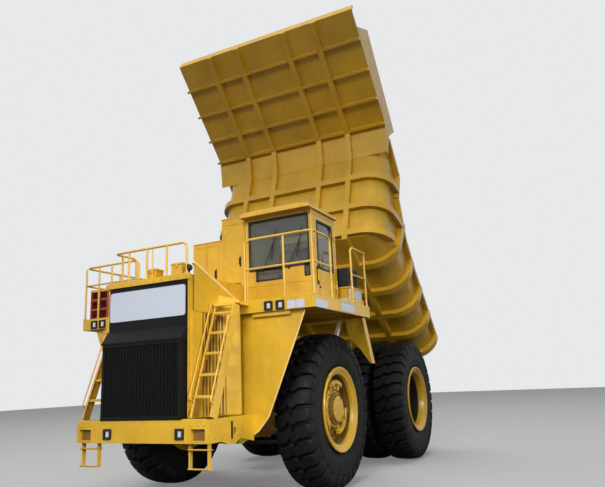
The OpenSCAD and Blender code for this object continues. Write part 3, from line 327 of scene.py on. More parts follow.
class Shape:
    """Gathers closed forms into one mesh, with the faces of each looking outward."""

    def __init__(self):
        self.verts = []
        self.faces = []

    def add(self, verts, faces, m=UNIT):
        verts = [m @ Vector(v) for v in verts]
        middle = sum(verts, Vector()) / len(verts)
        volume = 0.0
        for face in faces:
            for i in range(1, len(face) - 1):
                a, b, c = (verts[face[k]] - middle for k in (0, i, i + 1))
                volume += a.dot(b.cross(c))
        base = len(self.verts)
        self.verts += verts
        for face in faces:
            order = face if volume > 0 else face[::-1]
            self.faces.append(tuple(base + i for i in order))

    def loft(self, verts, n, m=UNIT, closed=False, skip=()):
        """Joins rings of n points each, into a loop of rings or into a form with two end faces."""
        rings = len(verts) // n
        faces = []
        for k in range(rings if closed else rings - 1):
            p, q = k * n, (k + 1) % rings * n
            faces += [(p + i, p + (i + 1) % n, q + (i + 1) % n, q + i) for i in range(n) if i not in skip]
        if not closed:
            faces += [tuple(range(n - 1, -1, -1)), tuple(range((rings - 1) * n, rings * n))]
        self.add(verts, faces, m)

    def box(self, low, high, edge=0.002, m=UNIT):
        """A box with chamfered edges."""
        low, high = Vector(low), Vector(high)
        half = (high - low) / 2
        edge = min(edge, 0.45 * min(half))
        verts = [[s[i] * (half[i] if i == k else half[i] - edge) for i in range(3)] for s, k in BOX_POINTS]
        self.add(verts, BOX_FACES, m @ at(*(low + high) / 2))

    def prism(self, outline, depth, m=UNIT):
        """An outline in XY, extruded along Z from 0 to depth."""
        self.loft([(x, y, z) for z in (0, depth) for x, y in outline], len(outline), m)

    def rim(self, outer, inner, depth, m=UNIT):
        """A flat frame between two outlines with as many points, extruded along Z."""
        verts = [p for a, b in zip(outer, inner) for p in ((*a, 0), (*a, depth), (*b, depth), (*b, 0))]
        self.loft(verts, 4, m, closed=True)

    def plate(self, x0, x1, y0, y1, r, depth, m=UNIT):
        """A plate with rounded corners."""
        self.prism(rounded(x0, x1, y0, y1, r), depth, m)

    def frame(self, x0, x1, y0, y1, r, width, inner_r, depth, m=UNIT):
        """A flat frame of one width with rounded corners."""
        w = width
        self.rim(rounded(x0, x1, y0, y1, r), rounded(x0 + w, x1 - w, y0 + w, y1 - w, inner_r), depth, m)

    def lathe(self, profile, m=UNIT, sides=96, start=0.0, sweep=360.0):
        """Turns a closed profile of (along, radius) pairs about X."""
        whole = sweep >= 360.0
        angles = arc(start, start + sweep, sides)
        verts = [(x, r * cos(a), r * sin(a)) for a in (angles[:-1] if whole else angles) for x, r in profile]
        n = len(profile)
        on_axis = [i for i in range(n) if max(profile[i][1], profile[(i + 1) % n][1]) < 1e-6]
        self.loft(verts, n, m, whole, on_axis)

    def tube(self, points, radius, bend=0.0, sides=12, m=UNIT):
        """A round tube along a path, its corners rounded to a bend radius."""
        path = [m @ Vector(p) for p in points]
        if bend:
            path = bent(path, bend)
        tangents = [(b - a).normalized() for a, b in zip(path[:1] + path, path[1:] + path[-1:])]
        side = tangents[0].orthogonal().normalized()
        verts = []
        for p, t in zip(path, tangents):
            side = (side - t * side.dot(t)).normalized()
            other = t.cross(side)
            verts += [p + u * side + v * other for u, v in circle(radius, sides)]
        self.loft(verts, sides)

    def rod(self, a, b, radius, sides=16, edge=0.0, m=UNIT):
        """A round bar between two points, with chamfered ends."""
        a, b = m @ Vector(a), m @ Vector(b)
        length = (b - a).length
        ring = [(0, radius), (length, radius)]
        if edge:
            ring = [(0, radius - edge), (edge, radius), (length - edge, radius), (length, radius - edge)]
        self.lathe([(0, 0), *ring, (length, 0)], pointing(a, b - a, "X", "Z"), sides)

    def bolt(self, place, normal, size, m=UNIT):
        """A hexagon head on a washer."""
        m = pointing(m @ Vector(place), m.to_3x3() @ Vector(normal))
        self.prism(circle(1.35 * size, 12), 0.25 * size, m)
        self.prism(circle(size, 6), size, m)

    def bolts(self, count, place, step, normal, size, m=UNIT):
        """A row of bolts, each one a step beyond the last."""
        for k in range(count):
            self.bolt([a + k * b for a, b in zip(place, step)], normal, size, m)

    def bolt_ring(self, count, along, radius, size, m, start=0.0):
        """A ring of bolts about X."""
        for y, z in circle(radius, count, start):
            self.bolt((along, y, z), OUT, size, m)

    def mesh(self, name):
        mesh = bpy.data.meshes.new(name)
        mesh.from_pydata([tuple(v) for v in self.verts], [], self.faces)
        mesh.polygons.foreach_set("use_smooth", [True] * len(mesh.polygons))
        mesh.set_sharp_from_angle(angle=radians(SHARP_ANGLE))
        return mesh


def put(shape, name, slot="body_paint", body="chassis", replaces="", mat=None):
    mesh = shape.mesh(name) if isinstance(shape, Shape) else shape
    mesh.transform(at(0, FRONT_AXLE_Y, 0))
    mesh.materials.append(mat or M[slot])
    obj = add_object(name, mesh)
    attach(obj, body)
    if replaces:
        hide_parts(replaces)
    return obj


# Tyres: a carcass of revolution, and two staggered rows of lugs that wrap the shoulders
LUGS = 32
WHEEL_Z = 1.3489
CARCASS = [
    (0, 1.272), (0.12, 1.27), (0.22, 1.258), (0.28, 1.236), (0.312, 1.196), (0.33, 1.14), (0.338, 1.092),
    (0.344, 1.086), (0.345, 1.074), (0.339, 1.066), (0.341, 1.0), (0.338, 0.93), (0.33, 0.86), (0.318, 0.805),
    (0.323, 0.797), (0.321, 0.786), (0.308, 0.778), (0.292, 0.745), (0.275, 0.722)
]
# Stations of a lug from the middle outward: place across, top and base radius, half width in pitches, bend
LUG = [
    (-0.012, 1.347, 1.268, 0.18, 0.4), (0.03, 1.3475, 1.268, 0.3, 0.34), (0.085, 1.346, 1.268, 0.36, 0.24),
    (0.11, 1.345, 1.268, 0.37, 0.12), (0.165, 1.34, 1.262, 0.375, 0.06), (0.225, 1.331, 1.252, 0.38, 0.03),
    (0.27, 1.318, 1.236, 0.385, 0.01), (0.3, 1.297, 1.212, 0.385, 0), (0.322, 1.262, 1.175, 0.38, 0),
    (0.336, 1.215, 1.14, 0.36, 0), (0.341, 1.165, 1.115, 0.32, 0)
]


def wheel_place(x, y, side):
    """A wheel's place, with its X pointing away from the truck's middle."""
    return at(side * x, y, WHEEL_Z, 0 if side > 0 else 180, "Z")


def add_tyre(shape, place):
    shape.lathe(CARCASS + [(-x, r) for x, r in reversed(CARCASS[1:])], place, 128)
    pitch = 2 * pi / LUGS
    for side, k in product((1, -1), range(LUGS)):
        middle = (k + (0.0 if side > 0 else 0.5)) * pitch
        verts = []
        for x, top, base, wide, lean in LUG:
            for r, w in ((base, wide + 0.055), (top - 0.009, wide), (top, wide - 0.035),
                         (top, 0.035 - wide), (top - 0.009, -wide), (base, -wide - 0.055)):
                a = middle + side * (lean + w) * pitch
                verts.append((side * x, r * cos(a), r * sin(a)))
        shape.loft(verts, 6, place)


# Each end's name, the ending of its names for twins, its tyres' places across, and its axle
WHEELS = (("front", "", (1.69,), 0), ("rear", "s", (1.12, 1.89), WHEELBASE))
for (side, letter, word), (end, twins, xs, y) in product(SIDES, WHEELS):
    tyre = Shape()
    for x in xs:
        add_tyre(tyre, wheel_place(x, y, side))
    put(tyre, f"tread_{end}_{word}", "tyre_rubber", f"{end}_wheel{twins}_{letter}",
        f"{end}_tyre{twins}_{word}")

# Rims, with along measured inward from the outer flange's face
FRONT_RIM_X = 2.04
REAR_RIM_X = 2.24
FLANGE = [
    (-0.008, 0.7), (0, 0.712), (0, 0.728), (-0.008, 0.737), (-0.026, 0.738), (-0.042, 0.73),
    (-0.052, 0.706), (-0.07, 0.664), (-0.1, 0.642)
]
FLANGE_IN = [(-0.1, 0.598), (-0.05, 0.612), (-0.04, 0.64), (-0.03, 0.652), (-0.024, 0.676), (-0.01, 0.69)]
LOCK_RING = [(-0.03, 0.672), (-0.024, 0.69), (-0.014, 0.694), (-0.012, 0.68), (-0.022, 0.668)]


def front_rim(place):
    s, inner = Shape(), Shape()
    back = [(-0.585, 0.642), (-0.625, 0.664), (-0.64, 0.706), (-0.65, 0.73), (-0.668, 0.736), (-0.68, 0.728),
            (-0.68, 0.7), (-0.655, 0.64), (-0.6, 0.6), (-0.3, 0.575)]
    s.lathe(FLANGE + back + FLANGE_IN, place, 128)
    s.lathe(LOCK_RING, place, 128)
    disc = [(-0.33, 0.58), (-0.27, 0.582), (-0.262, 0.56), (-0.258, 0.48), (-0.25, 0.455), (-0.225, 0.448),
            (-0.218, 0.43), (-0.215, 0.345), (-0.16, 0.33), (-0.148, 0.318), (-0.146, 0.286), (-0.112, 0.28),
            (-0.104, 0.268), (-0.102, 0.236), (-0.082, 0.232), (-0.074, 0.22), (-0.072, 0.12), (-0.064, 0.112),
            (-0.062, 0), (-0.33, 0)]
    inner.lathe(disc, place)
    inner.lathe([(-0.102, 0.597), (-0.102, 0.594), (-0.262, 0.578), (-0.262, 0.581)], place)
    # brackets round the hub, as a broken ring on stand-offs
    for start, sweep, r in ((58, 66, 0.47), (134, 88, 0.445), (-84, 84, 0.4)):
        s.lathe([(-0.165, r - 0.035), (-0.16, r - 0.04), (-0.1, r - 0.04), (-0.092, r - 0.032),
                 (-0.092, r + 0.028), (-0.1, r + 0.036), (-0.16, r + 0.036), (-0.165, r + 0.03)],
                place, 24, start, sweep)
        for k in range(3):
            turn = place @ at(0, 0, 0, start + 8 + k * (sweep / 2 - 8))
            s.box((-0.225, r - 0.13, -0.028), (-0.12, r - 0.02, 0.028), 0.006, turn)
            s.bolt((-0.092, r, 0), OUT, 0.018, turn)
    for turn in (90, 210, 330):
        s.box((-0.104, 0.15, -0.045), (-0.052, 0.225, 0.045), 0.012, place @ at(0, 0, 0, turn))
    s.bolt_ring(24, -0.258, 0.515, 0.016, place)
    s.bolt_ring(16, -0.146, 0.3, 0.014, place)
    s.bolt_ring(9, -0.072, 0.185, 0.012, place, 20)
    # the hub's cap and its raised ring are painted like the rim
    s.lathe([(-0.148, 0.318), (-0.14, 0.312), (-0.14, 0.29), (-0.147, 0.286)], place)
    s.lathe([(-0.074, 0.22), (-0.066, 0.214), (-0.06, 0.12), (-0.058, 0), (-0.074, 0)], place)
    return s, inner


def rear_rim(place):
    s = Shape()
    back = [(-1.35, 0.642), (-1.39, 0.664), (-1.405, 0.706), (-1.415, 0.73), (-1.432, 0.736), (-1.445, 0.728),
            (-1.445, 0.7), (-1.42, 0.64), (-1.36, 0.6), (-0.86, 0.59), (-0.82, 0.56), (-0.3, 0.57)]
    seat = [(-0.58, 0.64), (-0.6, 0.655), (-0.86, 0.655), (-0.88, 0.64)]
    s.lathe(FLANGE + seat + back + FLANGE_IN, place, 128)
    s.lathe(LOCK_RING, place, 128)
    s.lathe([(-0.9, 0.575), (-0.842, 0.575), (-0.836, 0.56), (-0.836, 0.455), (-0.824, 0.44), (-0.9, 0.44)],
            place)
    s.bolt_ring(30, -0.836, 0.51, 0.016, place)
    return s


def rear_hub(place):
    s = Shape()
    s.lathe([(-0.9, 0.44), (-0.79, 0.44), (-0.776, 0.426), (-0.77, 0.35), (-0.7, 0.335), (-0.688, 0.322),
             (-0.684, 0.25), (-0.64, 0.24), (-0.628, 0.228), (-0.625, 0), (-0.9, 0)], place)
    s.bolt_ring(24, -0.772, 0.388, 0.015, place)
    s.bolt_ring(16, -0.684, 0.286, 0.013, place)
    handle = [(-0.64, 0.12, 0.1), (-0.585, 0.12, 0.1), (-0.585, -0.12, 0.1), (-0.64, -0.12, 0.1)]
    s.tube(handle, 0.014, 0.04, m=place)
    # inside of the barrel, lined dark as painted shade
    s.lathe([(-0.185, 0.588), (-0.185, 0.584), (-0.3, 0.566), (-0.82, 0.556), (-0.82, 0.56), (-0.3, 0.57)],
            place)
    return s


for side, letter, word in SIDES:
    rim, disc = front_rim(wheel_place(FRONT_RIM_X, 0, side))
    put(rim, "rim_front_" + word, "body_paint", "front_wheel_" + letter, "front_rim_" + word)
    put(disc, "disc_front_" + word, "body_paint", "front_wheel_" + letter, mat=RIM_SHADE)
    place = wheel_place(REAR_RIM_X, WHEELBASE, side)
    put(rear_rim(place), "rim_rear_" + word, "body_paint", "rear_wheels_" + letter, "rear_rims_" + word)
    put(rear_hub(place), "hub_rear_" + word, "dark_iron", "rear_wheels_" + letter, mat=BARREL_DARK)

# Places of the body work
RADIATOR_Y = -2.814
SCREEN_Y = RADIATOR_Y - 0.131
HOOD_TOP = 3.55
DECK_HALF = 2.477
DECK_FRONT = -1.806
DECK_TOP = 3.175
BUMPER_Y = -2.935
FINS = 184
PLAIN_SHEET_END = -2.48
# Slope of the hood's side wall, outward for each metre back
WALL_SLOPE = 0.0212
# Upper ends of the sloping plate beside the hood: place along the truck and height
WING_FRONT = (-2.69, 3.765)
WING_REAR = (-1.4, 3.232)

# Radiator with its sign
sign, trim = Shape(), Shape()
# blank white sign with rounded corners, on the radiator's upper panel
sign.plate(-0.765, 0.767, 2.908, 3.385, 0.045, 0.012, front_at(RADIATOR_Y + 0.001))
put(sign, "sign_blank", "white_paint", mat=SIGN_WHITE)
# fine upright fins between the slats of the screen, with two stays across them
for k in range(FINS):
    x = -0.724 + 1.448 * k / (FINS - 1)
    trim.box((x - 0.0016, SCREEN_Y + 0.014, 1.448), (x + 0.0016, SCREEN_Y + 0.058, 2.492), 0.0005)
for z in (1.795, 2.145):
    trim.box((-0.728, SCREEN_Y + 0.034, z - 0.005), (0.728, SCREEN_Y + 0.058, z + 0.005))
for x in (-0.755, 0.755):
    trim.bolts(9, (x, SCREEN_Y, 1.44), (0, 0, 0.132), FRONT, 0.011)
trim.bolts(10, (-0.7, RADIATOR_Y, 3.445), (0.1555, 0, 0), FRONT, 0.011)
# folded edge of the visor
trim.box((-0.8, RADIATOR_Y - 0.15, 2.538), (0.8, RADIATOR_Y - 0.14, 2.568), 0.003)
put(trim, "radiator_fins", "black_paint", mat=CORE_BLACK)


def wall_x(y):
    """Outer face of the hood's side wall at a distance from the front axle."""
    return 0.809 + WALL_SLOPE * (y - RADIATOR_Y)


# Hood
s, sheet, edge, horn = Shape(), Shape(), Shape(), Shape()
for m in MIRROR:
    # brown sheet on the hood's wall behind the ladder, painted shade
    y0, y1 = PLAIN_SHEET_END, -2.075
    x0, x1 = wall_x(y0), wall_x(y1)
    plan = [(x0 - 0.004, y0), (x0 + 0.003, y0), (x1 + 0.003, y1), (x1 - 0.004, y1)]
    sheet.prism(plan, 1.545, m @ at(0, 0, 1.402))
    s.box((0.806, -2.74, 1.387), (0.8375, y0, 2.975), 0.004, m)
    # ribbed sheet on the slanting wall between the hood and the fender, painted brown as shade behind the
    # ladder
    slant = m @ at(0.838, -2.052, 0, degrees(atan2(0.184, 0.222)), "Z")
    sheet.box((0, -0.006, 1.402), (0.115, 0.001, 2.95), 0.001, slant)
    for x in (0.018, 0.074):
        s.box((x, -0.028, 1.402), (x + 0.022, 0, 2.95), 0.003, slant)
    s.prism([(-2.8, 3.5), (-2.06, 3.27), (-2.06, 3.546), (-2.8, 3.546)], 0.006, m @ left_at(0.796))
    # bead along the wall's sloping top, bolts along its front and top
    s.tube([(0.8, -2.75, 3.512), (0.814, -2.06, 3.279), (1.075, -1.836, 3.203)], 0.013, 0.03, 10, m)
    s.bolts(9, (wall_x(-2.785), -2.785, 1.5), (0, 0, 0.235), OUT, 0.01, m)
    s.bolts(6, (wall_x(-2.66), -2.66, 3.43), (0.115 * WALL_SLOPE, 0.115, -0.039), OUT, 0.01, m)
s.bolts(11, (-0.8, RADIATOR_Y - 0.03, 3.5), (0.16, 0, 0), FRONT, 0.01)
# sloping plate from the hood's corner down to the deck on the cab's side, with a flanged edge painted pale as
# a highlight
plate = [(-2.69, 2.972), (-1.822, 2.972), (-1.822, DECK_TOP), (WING_REAR[0], DECK_TOP), WING_REAR, WING_FRONT]
s.prism(plate, 0.006, left_at(0.836))
run, rise = (b - a for a, b in zip(WING_FRONT, WING_REAR))
edge.box((0.796, 0, -0.052), (0.849, hypot(run, rise), 0), 0.003,
         at(0, *WING_FRONT, degrees(atan2(rise, run))))
horn.rod((0.782, -2.79, 3.648), (0.782, -2.715, 3.648), 0.05, 24, 0.008)
horn.rod((0.782, -2.745, HOOD_TOP), (0.782, -2.745, 3.61), 0.014)
# lids of the filler covers, with a latch and a hinge each
for x0, x1, top in ((-0.074, 0.112, 3.716), (0.43, 0.65, 3.75)):
    middle = (x0 + x1) / 2
    s.box((x0 - 0.008, -2.753, top - 0.03), (x1 + 0.008, -2.552, top + 0.006), 0.006)
    s.box((middle - 0.018, -2.76, top - 0.07), (middle + 0.018, -2.745, top - 0.01), 0.004)
    s.rod((x0 + 0.02, -2.548, top), (x1 - 0.02, -2.548, top), 0.008)
# panel joints across the hood's top
for y in (-2.32, -1.78):
    s.box((-0.79, y - 0.012, 3.548), (0.79, y + 0.012, 3.556))
put(s, "hood_trim")
put(sheet, "hood_side_shade_sheets", mat=SHADE_BROWN)
put(edge, "hood_plate_edge_highlight", "rail_paint", mat=EDGE_HIGHLIGHT)
put(horn, "horn", "dark_plastic")

# Bumper
s, dark, pocket = Shape(), Shape(), Shape()
face = BUMPER_Y
for m in MIRROR:
    for x in (0.965, 1.091, 1.202):
        s.bolt((x, face, 1.314), FRONT, 0.013, m)
    s.rim(rounded(-0.138, 0.138, -0.094, 0.094, 0.014), rounded(-0.121, 0.121, -0.078, 0.078, 0.008), 0.006,
          m @ front_at(face, 1.092, 1.1785))
    # inside of the pocket, painted brown as shade
    pocket.box((0.972, face + 0.06, 1.102), (1.212, face + 0.069, 1.255), m=m)
    # tow slot with its frame, and bolts on the side arm
    dark.box((1.276, -2.388, 1.072), (1.2785, -2.334, 1.328), 0.001, m)
    s.frame(-2.402, -2.32, 1.056, 1.344, 0.02, 0.014, 0.01, 0.005, m @ left_at(1.2765))
    for y, z in product((-2.78, -2.62, -2.2), (1.13, 1.31)):
        s.bolt((1.277, y, z), OUT, 0.012, m)
    dark.box((0.87, face + 0.05, 1.384), (1.25, face + 0.29, 1.388), 0.001, m)
# joint lines of the beam's front plate
for x in (-0.86, 0.86):
    s.box((x - 0.01, face - 0.004, 1.062), (x + 0.01, face + 0.002, 1.38))
put(s, "bumper_trim")
put(dark, "bumper_dark", "black_paint")
put(pocket, "bumper_pocket_shade", mat=SHADE_BROWN)

# Chequered areas, X from and to, Y from and to: six on the deck, and the step ahead of it
TREAD_AREAS = [
    (0.84, 2.43, -1.77, -1.23), (2.215, 2.43, -1.2, -0.24), (0.87, 1.67, -0.22, 0.52),
    (-1.27, -0.84, -1.77, -1.23), (-2.43, -1.28, -0.67, 0.52), (-1.27, -0.35, -1.19, 0.52),
    (0.83, 1.18, -2.185, -1.82)
]
STEP_TOP = 3.116
TREAD_PITCH = 0.1


def tread_plate(shape, x0, x1, y0, y1, z):
    """Raised bars of a chequered deck plate, in alternating directions."""
    nx, ny = int((x1 - x0) / TREAD_PITCH), int((y1 - y0) / TREAD_PITCH)
    for i, j in product(range(nx), range(ny)):
        x, y = x0 + (i + 0.5) * (x1 - x0) / nx, y0 + (j + 0.5) * (y1 - y0) / ny
        a = radians(45 if (i + j) % 2 else -45)
        c, s = cos(a) * 0.022, sin(a) * 0.022
        n, m = -sin(a) * 0.006, cos(a) * 0.006
        shape.add([(x - c, y - s, z), (x + n, y + m, z), (x + c, y + s, z), (x - n, y - m, z),
                   (x, y, z + 0.004)],
                  [(0, 1, 4), (1, 2, 4), (2, 3, 4), (3, 0, 4), (0, 3, 2, 1)])


# Deck and fenders
tread, s, pale = Shape(), Shape(), Shape()
for area in TREAD_AREAS:
    tread_plate(tread, *area, DECK_TOP if area[3] > DECK_FRONT else STEP_TOP)
put(tread, "deck_tread")
for m in MIRROR:
    s.bolts(6, (1.17, DECK_FRONT, 3.15), (0.25, 0, 0), FRONT, 0.009, m)
    # rolled edge of the fender panel, its bolts, and the edge strip of the mudguard; the edge and the strip
    # are painted pale as highlights
    edge = [(2.218, 2.96), (2.222, 2.93), (2.048, 2.52), (1.518, 1.332), (1.328, 1.122), (1.0, 0.934)]
    pale.tube([(x, -1.688, z) for x, z in edge], 0.014, 0.06, 10, m)
    for count, x, z, dx, dz in ((6, 1.06, 1.41, 0.085, 0), (5, 1.36, 2.93, 0.15, 0), (6, 1.1, 1.6, 0, 0.24)):
        s.bolts(count, (x, -1.7, z), (dx, 0, dz), FRONT, 0.01, m)
    pale.tube([(2.398, 0.345, 2.962), (2.398, 0.732, 2.136)], 0.014, m=m)
put(s, "deck_trim")
put(pale, "fender_edge_highlights", "rail_paint", mat=EDGE_HIGHLIGHT)

RAIL_R = 0.02
MID_R = RAIL_R * 0.85
POST_R = RAIL_R * 0.9
RAIL_X = DECK_HALF - 0.022
RAIL_Y = DECK_FRONT + 0.022


def flange(shape, x, y, z):
    shape.rod((x, y, z), (x, y, z + 0.012), 0.052, 20, 0.003)
    shape.bolt_ring(4, 0.012, 0.037, 0.007, at(x, y, z) @ UPRIGHT, 45)


def side_rail(shape, m, start, end, top, mid, posts, feet):
    """A rail round the deck's front corner, with its posts and feet."""
    x, y, deck = RAIL_X, RAIL_Y, DECK_TOP
    shape.tube([(start, y, deck), (start, y, top), (x, y, top), (x, end, top), (x, end, deck)],
               RAIL_R, 0.11, m=m)
    shape.tube([(start, y, mid), (x, y, mid), (x, end, mid)], MID_R, 0.08, m=m)
    for a, b in posts:
        shape.tube([(a, b, deck), (a, b, top - 0.02)], POST_R, m=m)
    for a, b in posts + feet + [(start, y), (x, end)]:
        shape.box((a - 0.03, b - 0.03, deck), (a + 0.022, b + 0.03, deck + 0.012), m=m)


# Handrails
y = RADIATOR_Y + 0.04
top, base = 4.06, HOOD_TOP
s = Shape()
s.tube([(-0.74, -2.27, base), (-0.74, -2.27, top), (-0.74, y, top), (0.76, y, top), (0.76, y, base)],
       RAIL_R, 0.09)
posts = [(-0.43, y), (-0.045, y), (0.36, y), (-0.74, -2.6)]
for a, b in posts:
    s.tube([(a, b, base), (a, b, top)], POST_R)
s.tube([(0.07, y, base), (0.07, y, top)], RAIL_R * 0.5)
for a, b in posts + [(-0.74, -2.27), (0.76, y)]:
    flange(s, a, b, base)
put(s, "rail_front", "rail_paint", replaces="handrail_front")

x, y, deck, top, mid = RAIL_X, RAIL_Y, DECK_TOP, 4.205, 3.7
s = Shape()
side_rail(s, UNIT, 1.19, -1.105, top, mid, [(1.93, y), (x, y)], [(x, -0.2), (x, 0.47)])
s.tube([(x, -0.2, deck), (x, -0.2, top), (x, 0.5, top)], RAIL_R, 0.11)
s.tube([(x, -0.2, mid), (x, 0.5, mid)], MID_R)
s.tube([(x, 0.47, deck), (x, 0.47, top)], POST_R)
put(s, "rail_left", "rail_paint", replaces="handrail_left")

s = Shape()
side_rail(s, MIRROR[1], 1.13, 0.5, 4.18, 3.83, [(1.8, y), (2.12, y), (x, y), (x, -0.9), (x, -0.2)], [])
put(s, "rail_right", "rail_paint", replaces="handrail_right")

LADDER_FOOT = Vector((0, -2.8, 1.384))
LADDER_HEAD = Vector((0, -2.14, 3.122))
RUNG_GAP = 0.34

# Ladders
up = (LADDER_HEAD - LADDER_FOOT).normalized()
length = (LADDER_HEAD - LADDER_FOOT).length
slope = Matrix((Vector((1, 0, 0)), Vector((0, up.z, -up.y)), up)).transposed().to_4x4()
for m, word in zip(MIRROR, ("left", "right")):
    s = Shape()
    lean = m @ at(*LADDER_FOOT) @ slope
    # stiles: a wide outer plate with folded edges, and a narrow inner one
    for x0, y0, x1, y1, cut in ((1.256, -0.073, 1.268, 0.085, 0.03), (1.238, -0.073, 1.27, -0.062, 0.03),
                                (0.85, -0.034, 0.862, 0.034, 0.02), (0.85, -0.034, 0.888, -0.024, 0.02)):
        s.box((x0, y0, 0.01), (x1, y1, length - cut), m=lean)
    for k in range(1, int(length / RUNG_GAP) + 1):
        # tread with a turned-down nose, grip slots, and a gusset at each end
        step = m @ at(*(LADDER_FOOT + up * RUNG_GAP * k))
        s.box((0.858, -0.05, 0), (1.262, 0.075, 0.008), m=step)
        s.box((0.858, -0.055, -0.03), (1.262, -0.045, 0.008), m=step)
        for i in range(7):
            x = 0.898 + i * 0.052
            s.box((x, -0.035, 0.008), (x + 0.026, 0.06, 0.013), m=step)
        for x in (0.864, 1.246):
            s.prism([(-0.045, 0), (0.07, 0), (0.03, -0.095), (0.012, -0.095)], 0.008, step @ left_at(x))
        for x, way in ((0.849, -1), (1.269, 1)):
            s.bolt((x, 0.01, -0.02), (way, 0, 0), 0.008, step)
    # cross bar at the head
    s.box((0.85, -0.06, length - 0.07), (1.268, -0.04, length - 0.015), 0.003, lean)
    # hand bars on short arms beside the stiles
    for x, a, b in ((0.864, 0.24, 0.06), (1.258, 0.18, 0.3)):
        low, high = LADDER_FOOT + up * a, LADDER_HEAD - up * b
        near, off = Vector((x, 0, 0.014)), Vector((x, -0.13, 0.064))
        s.tube([low + near, low + off, high + off, high + near], 0.012, 0.04, 10, m)
    # landing, and the step hung below the bumper
    s.box((0.856, -2.19, 3.112), (1.264, -2.045, 3.117), m=m)
    s.box((1.105, -2.05, 3.093), (1.264, DECK_FRONT, 3.117), 0.003, m)
    s.box((0.856, -2.196, 3.08), (1.264, -2.184, 3.118), 0.003, m)
    for x in (0.88, 1.21):
        s.box((x, -2.875, 0.7), (x + 0.012, -2.795, 1.06), m=m)
        s.bolts(2, (x + 0.013, -2.835, 1.0), (0, 0, 0.035), OUT, 0.01, m)
    for z in (0.7, 0.96):
        s.box((0.88, -2.895, z), (1.24, -2.765, z + 0.01), m=m)
        s.box((0.88, -2.895, z), (1.24, -2.885, z + 0.025), m=m)
    put(s, "ladder_" + word, "rail_paint", replaces="ladders")

# Lamps: side place, height, face, half width
LAMPS = [
    (0.768, 1.188, BUMPER_Y, 0.078), (-0.623, 1.188, BUMPER_Y, 0.078), (1.642, 3.055, DECK_FRONT, 0.076),
    (1.858, 3.052, DECK_FRONT, 0.076), (-1.975, 3.06, DECK_FRONT, 0.076), (-2.18, 3.06, DECK_FRONT, 0.076)
]

housing, lens, inner = Shape(), Shape(), Shape()
for x, z, face, w in LAMPS:
    place = front_at(face, x, z)
    corner = w - 0.012
    housing.plate(-w, w, -w, w, 0.014, 0.01, place)
    housing.frame(-w, w, -w, w, 0.014, 0.024, 0.01, 0.024, place)
    # white reflector behind the lens
    inner.box((-0.026, -0.04, 0.009), (0.034, 0.04, 0.0135), 0.003, place)
    lens.plate(-0.03, 0.038, -0.044, 0.044, 0.01, 0.017, place)
    for u, v in product((-corner, corner), repeat=2):
        housing.bolt((u, v, 0.022), UP, 0.005, place)
put(housing, "lamp_housings", "dark_plastic", replaces="lamps")
put(inner, "lamp_reflectors", "lamp_glass", mat=LAMP_WHITE)
put(lens, "lamp_lenses", "lamp_glass")

# Reflector strips and blank number patches, thin plates with no marks
white = Shape()
for x0, x1 in ((1.985, 2.131), (2.145, 2.29)):
    white.plate(x0, x1, 2.982, 3.108, 0.008, 0.003, front_at(DECK_FRONT + 0.001))
for y0, y1, z0, z1 in ((-1.78, -1.565, 2.97, 3.095), (-1.56, -1.345, 2.97, 3.095), (-0.78, -0.2, 2.995, 3.13)):
    white.plate(y0, y1, z0, z1, 0.008, 0.0035, left_at(DECK_HALF - 0.003))
put(white, "plates_blank", "white_paint", mat=SIGN_WHITE)

# Control cabinet and grid box
CABINET_DOORS = [(-0.296, -0.012, 3.255, 4.4), (0.004, 0.268, 3.255, 4.4), (0.4, 0.8, 3.255, 4.74)]

s, dark = Shape(), Shape()
face = -1.215
for x0, x1, z0, z1 in CABINET_DOORS:
    middle = (z0 + z1) / 2
    s.frame(x0 + 0.01, x1 - 0.01, z0 + 0.01, z1 - 0.01, 0.02, 0.024, 0.015, 0.006, front_at(face + 0.001))
    for z in (z0 + 0.15, middle, z1 - 0.15):
        s.rod((x0 - 0.004, face, z - 0.045), (x0 - 0.004, face, z + 0.045), 0.011)
    dark.box((x1 - 0.075, face - 0.008, middle - 0.09), (x1 - 0.045, face, middle + 0.09), 0.003)
    handle = [(-0.006, -0.06), (-0.04, -0.06), (-0.04, 0.06), (-0.006, 0.06)]
    dark.tube([(x1 - 0.06, face + y, middle + z) for y, z in handle], 0.008, 0.02)
    # slanted louvres low on the door
    for k in range(8):
        z = z0 + 0.12 + k * 0.032
        dark.box((x0 + 0.06, face - 0.004, z), (x1 - 0.06, face + 0.002, z + 0.012))
# rain strips along the tops
s.box((-0.33, -1.212, 4.44), (0.345, -0.345, 4.458), 0.006)
s.box((0.322, -1.212, 4.83), (0.84, -0.295, 4.848), 0.006)
put(s, "cabinet_trim")
put(dark, "cabinet_handles", "dark_plastic")

# Grid box
s, dark, strip = Shape(), Shape(), Shape()
x0, y0 = -2.42, -1.7
for i, k in product(range(5), range(3)):
    a, b, z = x0 + 0.024 + i * 0.224, y0 + 0.05 + i * 0.24, DECK_TOP + 0.03 + k * 0.185
    slats = [z + 0.018 + j * 0.026 for j in range(5)]
    dark.box((a - 0.002, y0 + 0.06, z), (a + 0.178, y0 + 0.068, z + 0.14), 0.001)
    for low in slats:
        s.box((a, y0 + 0.014, low), (a + 0.176, y0 + 0.052, low + 0.004), 0.001)
    if i < 4:
        dark.box((x0 + 0.06, b - 0.002, z), (x0 + 0.068, b + 0.182, z + 0.14), 0.001)
        for low in slats:
            s.box((x0 + 0.014, b, low), (x0 + 0.052, b + 0.18, low + 0.004), 0.001)
    else:
        # closes the corner between the two rows of backs
        dark.box((x0 + 0.012, y0 + 0.052, z), (x0 + 0.068, y0 + 0.068, z + 0.14), 0.001)
s.bolts(7, (x0 + 0.05, y0, 3.722), (0.17, 0, 0), FRONT, 0.009)
strip.box((x0, y0 - 0.006, 3.705), (-1.3, y0 + 0.004, 3.751), 0.003)
